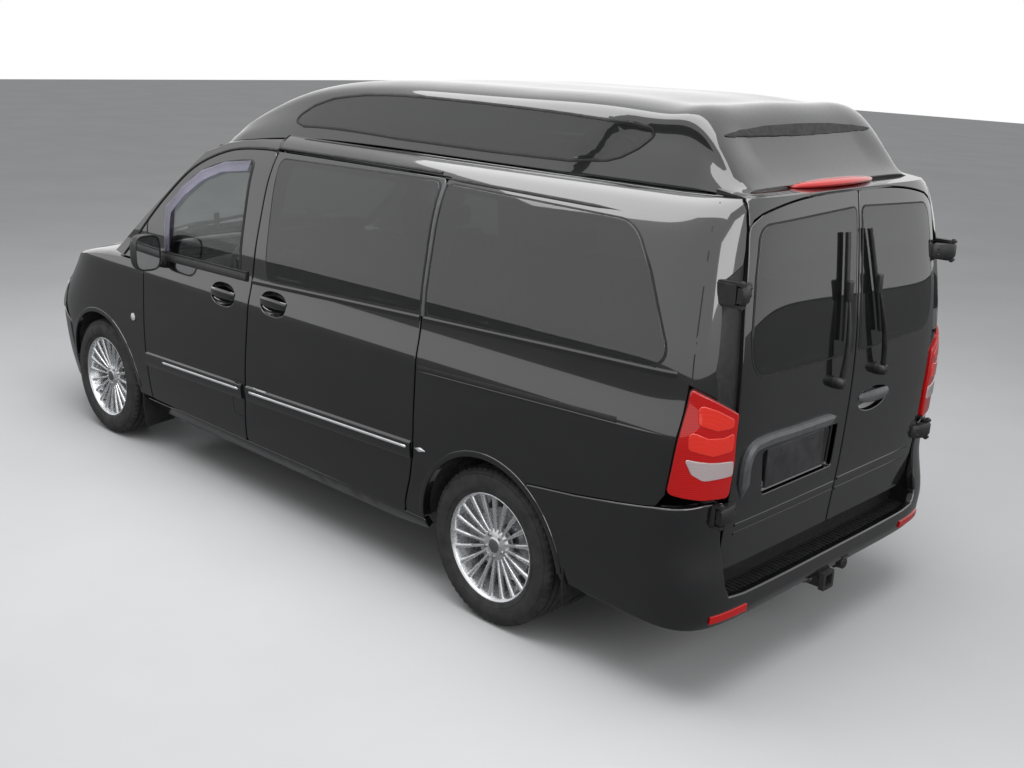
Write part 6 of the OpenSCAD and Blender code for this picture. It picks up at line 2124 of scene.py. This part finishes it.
def seat_frames():
    p = Piece("seat_frames")
    plinth = np.array([(.05, .02), (.43, .02), (.472, .19), (.466, .226), (-.016, .226), (-.022, .2)])
    centre = plinth.mean(0)
    parts = [(loft([[(x, y, z) for x, z in centre + (plinth - centre) * s]
                    for y, s in ((-.24, .95), (-.234, 1), (.234, 1), (.24, .95))]), "cabin_trim")]
    for y in (-.17, .17):
        parts.append((block((.03, y - .02, 0), (.46, y + .02, .028), .005), "brushed_steel"))
    rings = []
    for y in np.linspace(-.226, .226, 15):
        edge = (abs(y) / .226) ** 6
        rings.append([(.018, y, .0), (-.002 + .012 * edge, y, .01), (-.006 + .014 * edge, y, .3),
                      (.006 + .01 * edge, y, .578 - .03 * edge),
                      (.03, y, .588 - .03 * edge), (.03, y, .57 - .03 * edge), (.02, y, .55)])
    parts.append((leaned(loft(rings)), "cabin_trim"))
    for s in (-1, 1):
        parts.append((lathe([(.0005, .014), (.03, .013), (.042, .006), (.044, -.012), (.0005, -.012)],
                            (.03, s * .237, .275),
                            (0, s, 0), 32), "black_trim"))
        parts.append((leaned(tube([(.05, s * .05, h) for h in (.55, .58, .62)], .006, 12)), "brushed_steel"))
    parts.append((tube([(.2, .247, .15), (.24, .258, .15), (.4, .258, .165), (.425, .256, .17)],
                       (.008, .01, .012, .007), 12, flat=.6),
                  "black_trim"))
    for x, y in SEATS:
        for shell, finish in parts:
            p.add(shifted(shell, x, y), finish)
    p.make("van", "black_plastic", "seats")


def dashboard():
    p = Piece("dashboard_moulding")
    rings = []
    for y in np.linspace(-.8, .8, 81):
        hood = .042 * float(np.exp(-(abs(y - .4) / .17) ** 6))
        rise = .012 * (1 - (y / .8) ** 2)
        rings.append([(1.187, y, .91), (1.187, y, 1.07), (1.12, y, 1.074 + rise + hood * .5),
                      (1.04, y, 1.076 + rise + hood),
                      (.98, y, 1.066 + rise + hood), (.952, y, 1.05 + hood * .8),
                      (.938 + hood * .4, y, 1.032), (.936, y, 1.0),
                      (.95, y, .955), (.972, y, .909)])
    p.add(loft(rings), "cabin_trim")
    p.add(tube([COLUMN - COLUMN_AXIS * t for t in (.018, .03, .16, .275)], (.021, .03, .034, .03), 24),
          "cabin_trim")
    p.add(block((.91, -.15, .86), (.97, .11, 1.066), .014, 4), "black_trim")
    p.add(block((.904, -.115, .965), (.914, .075, 1.055), .004), "smoke_acrylic")
    for y in (-.1, -.02, .06):
        p.add(lathe([(.0005, .022), (.013, .021), (.017, .016), (.018, 0), (.0005, 0)], (.911, y, .91),
                    (-1, 0, 0), 24), "grey_plastic")
    p.add(tube([(.93, -.02, .875), (.9, -.02, .9), (.875, -.02, .945)], (.009, .008, .008), 12),
          "brushed_steel")
    p.add(lathe([(.0005, .024), (.014, .02), (.019, .006), (.016, -.012), (.008, -.02), (.0005, -.02)],
                (.873, -.02, .955),
                (-.45, 0, .89), 24), "black_trim")
    for y in (.33, .47):
        p.add(lathe([(.0005, 0), (.044, 0), (.047, .006), (.05, .006), (.052, -.012), (.0005, -.012)],
                    (.944, y, 1.062), (-1, 0, .15), 40),
              "black_trim")
        p.add(lathe([(.042, .004), (.0445, .005), (.046, .002), (.042, 0)], (.944, y, 1.062), (-1, 0, .15),
                    40), "bright_strip")
    for y in (-.7, -.24, .2, .69):
        loop = rounded([(y - .055, 1.0), (y + .055, 1.0), (y + .05, 1.042), (y - .05, 1.042)], .012)
        p.add(panel(flap_skin(.936), loop, [shrink(loop, .007)], step=.02, thick=.01, roll=.002, lift=.004,
                    sign=-1), "black_trim")
        for z in (1.01, 1.021, 1.032):
            p.add(block((.934, y - .048, z - .0025), (.944, y + .048, z + .0025), .001, 2), "black_trim")
    lid = rounded([(-.72, .93), (-.26, .93), (-.26, .99), (-.72, .99)], .012)
    p.add(panel(lambda uv: np.stack([.939 + (1 - uv[:, 1]) * .4, uv[:, 0], uv[:, 1]], 1), lid, step=.03,
                thick=.008, roll=.003,
                lift=.006, sign=-1), "cabin_trim")
    p.make("van", "black_plastic", "dashboard")
    w = Piece("steering_wheel_rim")
    turn = np.linspace(0, 2 * pi, 18, endpoint=False)
    w.add(lathe([(.19 + .014 * cos(a), .0145 * sin(a)) for a in turn], COLUMN, COLUMN_AXIS, 96), "cabin_trim")
    w.add(lathe([(.0005, .024), (.03, .023), (.052, .016), (.06, .004), (.057, -.012), (.0005, -.014)],
                COLUMN, COLUMN_AXIS, 48),
          "black_trim")
    down = np.array((-.642788, 0, -.766044))
    for a in (0, 120, 240):
        d = down * cos(radians(a)) + np.array((0, 1, 0)) * sin(radians(a))
        w.add(tube([COLUMN + d * r for r in (.045, .08, .14, .184)], (.02, .018, .016, .018), 16, flat=.45),
              "grey_plastic")
    w.make("steering_wheel", "black_plastic", "steering_wheel")


def cabin():
    dashboard()
    seat_frames()
    seat_pads()
    c = Piece("floor_covering")
    loop = rounded([(-2.32, -.6), (1.12, -.7), (1.12, .7), (-2.32, .6)], .05)
    c.add(panel(lambda uv: np.stack([uv[:, 0], uv[:, 1], np.full(len(uv), .4715)], 1), loop, step=.08,
                thick=.006, roll=.002,
                lift=.006, sign=1), "floor_carpet")
    c.make("van", "seat_fabric")


# Stage.
def place_camera():
    yaw, pitch, roll = radians(-46.24), radians(16.34), radians(2.43)
    view = Vector((cos(pitch) * cos(yaw), cos(pitch) * sin(yaw), -sin(pitch)))
    right = view.cross(Vector((0, 0, 1))).normalized()
    up = right.cross(view)
    right, up = right * cos(roll) + up * sin(roll), up * cos(roll) - right * sin(roll)
    turn = Matrix((right, up, -view)).transposed().to_4x4()
    data = bpy.data.cameras.new("studio_camera")
    data.sensor_width = 36
    data.lens = 1196.75 / 1024 * 36
    data.clip_end = 200
    cam = bpy.data.objects.new("studio_camera", data)
    cam.matrix_world = Matrix.Translation((-4.711, 4.154, 2.376)) @ turn
    bpy.context.scene.collection.objects.link(cam)
    bpy.context.scene.camera = cam


def soft_lamp(name, place, aim, size, power):
    data = bpy.data.lights.new(name, "AREA")
    data.shape = "RECTANGLE"
    data.size, data.size_y = size
    data.energy = power
    lamp = bpy.data.objects.new(name, data)
    away = Vector(place) - Vector(aim)
    lamp.rotation_euler = away.to_track_quat("Z", "Y").to_euler()
    lamp.location = place
    bpy.context.scene.collection.objects.link(lamp)


def build_stage():
    scene = bpy.context.scene
    scene.view_settings.view_transform = "Standard"
    place_camera()
    size, rows = 40., 40
    grid = np.linspace(-size, size, rows + 1)
    points = [(x, y, 0) for x in grid for y in grid]
    faces = [(i * (rows + 1) + j, (i + 1) * (rows + 1) + j, (i + 1) * (rows + 1) + j + 1,
              i * (rows + 1) + j + 1)
             for i in range(rows) for j in range(rows)]
    mesh = bpy.data.meshes.new("studio_floor")
    mesh.from_pydata(points, [], faces)
    mesh.materials.append(finish_of("studio_floor"))
    floor = bpy.data.objects.new("studio_floor", mesh)
    scene.collection.objects.link(floor)
    # Painted reflection: the floor is hidden from reflections, and a dim glowing ring that only reflections
    # see darkens what the lower body reflects.
    floor.visible_glossy = False
    reach, segments = 18., 64
    ring = [(reach * cos(a), reach * sin(a)) for a in np.linspace(0, 2 * pi, segments, endpoint=False)]
    points = [(x, y, z) for z in (-.01, .04) for x, y in ring]
    faces = [(i, (i + 1) % segments, segments + (i + 1) % segments, segments + i) for i in range(segments)]
    mesh = bpy.data.meshes.new("dark_dado")
    mesh.from_pydata(points, [], faces + [tuple(range(segments))])
    mesh.materials.append(finish_of("dado_cloth"))
    glow_ring = bpy.data.objects.new("dark_dado", mesh)
    glow_ring.visible_camera = glow_ring.visible_diffuse = glow_ring.visible_transmission = glow_ring.visible_shadow = False
    scene.collection.objects.link(glow_ring)
    world = bpy.data.worlds.new("studio_walls")
    scene.world = world
    world.use_nodes = True
    tree = world.node_tree
    back = tree.nodes["Background"]
    path = tree.nodes.new("ShaderNodeLightPath")
    seen = tree.nodes.new("ShaderNodeMath")
    seen.operation = "MAXIMUM"
    tree.links.new(path.outputs["Is Camera Ray"], seen.inputs[0])
    tree.links.new(path.outputs["Is Glossy Ray"], seen.inputs[1])
    more = tree.nodes.new("ShaderNodeMath")
    more.operation = "MAXIMUM"
    tree.links.new(seen.outputs[0], more.inputs[0])
    tree.links.new(path.outputs["Is Transmission Ray"], more.inputs[1])
    level = tree.nodes.new("ShaderNodeMapRange")
    level.inputs["To Min"].default_value = looks().fill
    level.inputs["To Max"].default_value = 1.
    tree.links.new(more.outputs[0], level.inputs["Value"])
    back.inputs["Color"].default_value = (1, 1, 1, 1)
    tree.links.new(level.outputs["Result"], back.inputs["Strength"])
    soft_lamp("ceiling_softbox", (-.6, 1.2, 5.2), (-.3, 0, .6), (7.5, 4.5), looks().softbox)
    soft_lamp("rear_softbox", (-7., 1.5, 3.4), (-2.2, 0, 1.), (4., 2.4), looks().softbox * .28)


# Add-on.
class VanLooks(bpy.types.PropertyGroup):
    """Colours and light levels of the dressed van."""
    paint: bpy.props.FloatVectorProperty(name="Paint", description="Colour of the gloss paint",
                                         subtype="COLOR",
                                         size=3, min=0, max=1, default=(.0045, .0047, .0052))
    privacy: bpy.props.FloatVectorProperty(name="Privacy glass",
                                           description="Tint of the dark side and rear glass",
                                           subtype="COLOR", size=3, min=0, max=1, default=(.07, .073, .073))
    deflector: bpy.props.FloatVectorProperty(name="Wind deflector",
                                             description="Tint of the smoky deflectors",
                                             subtype="COLOR", size=3, min=0, max=1, default=(.56, .54, .68))
    alloy: bpy.props.FloatVectorProperty(name="Alloy", description="Colour of the wheel alloy",
                                         subtype="COLOR",
                                         size=3, min=0, max=1, default=(.72, .73, .75))
    lens_red: bpy.props.FloatVectorProperty(name="Red lens", description="Colour of the tail and brake lamps",
                                            subtype="COLOR", size=3, min=0, max=1, default=(.56, .009, .009))
    cloth: bpy.props.FloatVectorProperty(name="Seat cloth", description="Colour of the seat covers",
                                         subtype="COLOR", size=3, min=0, max=1, default=(.035, .035, .038))
    floor: bpy.props.FloatVectorProperty(name="Floor", description="Colour of the studio floor",
                                         subtype="COLOR",
                                         size=3, min=0, max=1, default=(.6, .605, .615))
    fill: bpy.props.FloatProperty(name="Fill light", description="Strength of the even light from all round",
                                  default=.42, min=0, max=1)
    softbox: bpy.props.FloatProperty(name="Softbox", description="Power of the ceiling softbox in watts",
                                     default=330, min=0, subtype="POWER", unit="POWER")


class VAN_OT_studio_stage(bpy.types.Operator):
    """Set up the pale floor, soft light and camera."""
    bl_idname = "van.studio_stage"
    bl_label = "Studio stage"

    def execute(self, context):
        build_stage()
        return {"FINISHED"}


class VAN_OT_front_doors(bpy.types.Operator):
    """Build the two hinged front doors with their glass."""
    bl_idname = "van.front_doors"
    bl_label = "Front doors"

    def execute(self, context):
        front_doors()
        return {"FINISHED"}


class VAN_OT_body_sides(bpy.types.Operator):
    """Build the quarter panels, sliding doors, sills and side glass."""
    bl_idname = "van.body_sides"
    bl_label = "Body sides"

    def execute(self, context):
        body_sides()
        return {"FINISHED"}


class VAN_OT_raised_roof(bpy.types.Operator):
    """Build the raised roof shell and its side windows."""
    bl_idname = "van.raised_roof"
    bl_label = "Raised roof"

    def execute(self, context):
        raised_roof()
        return {"FINISHED"}


class VAN_OT_front_end(bpy.types.Operator):
    """Build the pillars, windscreen, wings, bonnet, grille, lamps and bumper."""
    bl_idname = "van.front_end"
    bl_label = "Front end"

    def execute(self, context):
        front_end()
        return {"FINISHED"}


class VAN_OT_mirrors(bpy.types.Operator):
    """Build the two door mirrors."""
    bl_idname = "van.mirrors"
    bl_label = "Mirrors"

    def execute(self, context):
        mirrors()
        return {"FINISHED"}


class VAN_OT_rear_doors(bpy.types.Operator):
    """Build the hinged rear doors, their glass, wipers and handle."""
    bl_idname = "van.rear_doors"
    bl_label = "Rear doors"

    def execute(self, context):
        rear_doors()
        return {"FINISHED"}


class VAN_OT_rear_lamps(bpy.types.Operator):
    """Build the tail lamps and the high brake lamp."""
    bl_idname = "van.rear_lamps"
    bl_label = "Rear lamps"

    def execute(self, context):
        rear_lamps()
        return {"FINISHED"}


class VAN_OT_rear_bumper(bpy.types.Operator):
    """Build the rear bumper with its step and reflectors."""
    bl_idname = "van.rear_bumper"
    bl_label = "Rear bumper"

    def execute(self, context):
        rear_bumper()
        return {"FINISHED"}


class VAN_OT_tow_hitch(bpy.types.Operator):
    """Build the tow receiver with its loops and socket."""
    bl_idname = "van.tow_hitch"
    bl_label = "Tow hitch"

    def execute(self, context):
        tow_hitch()
        return {"FINISHED"}


class VAN_OT_wheels(bpy.types.Operator):
    """Build the tyres and the spoked rims."""
    bl_idname = "van.wheels"
    bl_label = "Wheels"

    def execute(self, context):
        wheels()
        return {"FINISHED"}


class VAN_OT_cabin(bpy.types.Operator):
    """Build the seats, dashboard, steering wheel and linings."""
    bl_idname = "van.cabin"
    bl_label = "Cabin"

    def execute(self, context):
        cabin()
        return {"FINISHED"}


class VAN_OT_underbody(bpy.types.Operator):
    """Finish the floor, axles, engine and exhaust, and build the mud flaps."""
    bl_idname = "van.underbody"
    bl_label = "Underbody"

    def execute(self, context):
        underbody()
        return {"FINISHED"}


class VAN_PT_dressing(bpy.types.Panel):
    """Lists the van's colours and its building steps."""
    bl_label = "Van dressing"
    bl_idname = "VAN_PT_dressing"
    bl_space_type = "VIEW_3D"
    bl_region_type = "UI"
    bl_category = "Van"

    def draw(self, context):
        for name in VanLooks.__annotations__:
            self.layout.prop(context.scene.van_looks, name)
        for step in STEPS:
            self.layout.operator(step.bl_idname)


STEPS = (VAN_OT_studio_stage, VAN_OT_front_doors, VAN_OT_body_sides, VAN_OT_raised_roof, VAN_OT_front_end,
         VAN_OT_mirrors, VAN_OT_rear_doors, VAN_OT_rear_lamps, VAN_OT_rear_bumper, VAN_OT_tow_hitch,
         VAN_OT_wheels, VAN_OT_cabin, VAN_OT_underbody)
CLASSES = (VanLooks, *STEPS, VAN_PT_dressing)


def register():
    for item in CLASSES:
        bpy.utils.register_class(item)
    bpy.types.Scene.van_looks = bpy.props.PointerProperty(type=VanLooks)


def unregister():
    del bpy.types.Scene.van_looks
    for item in reversed(CLASSES):
        bpy.utils.unregister_class(item)


def main():
    register()
    for step in STEPS:
        family, name = step.bl_idname.split(".")
        getattr(getattr(bpy.ops, family), name)()


if __name__ == "__main__":
    main()
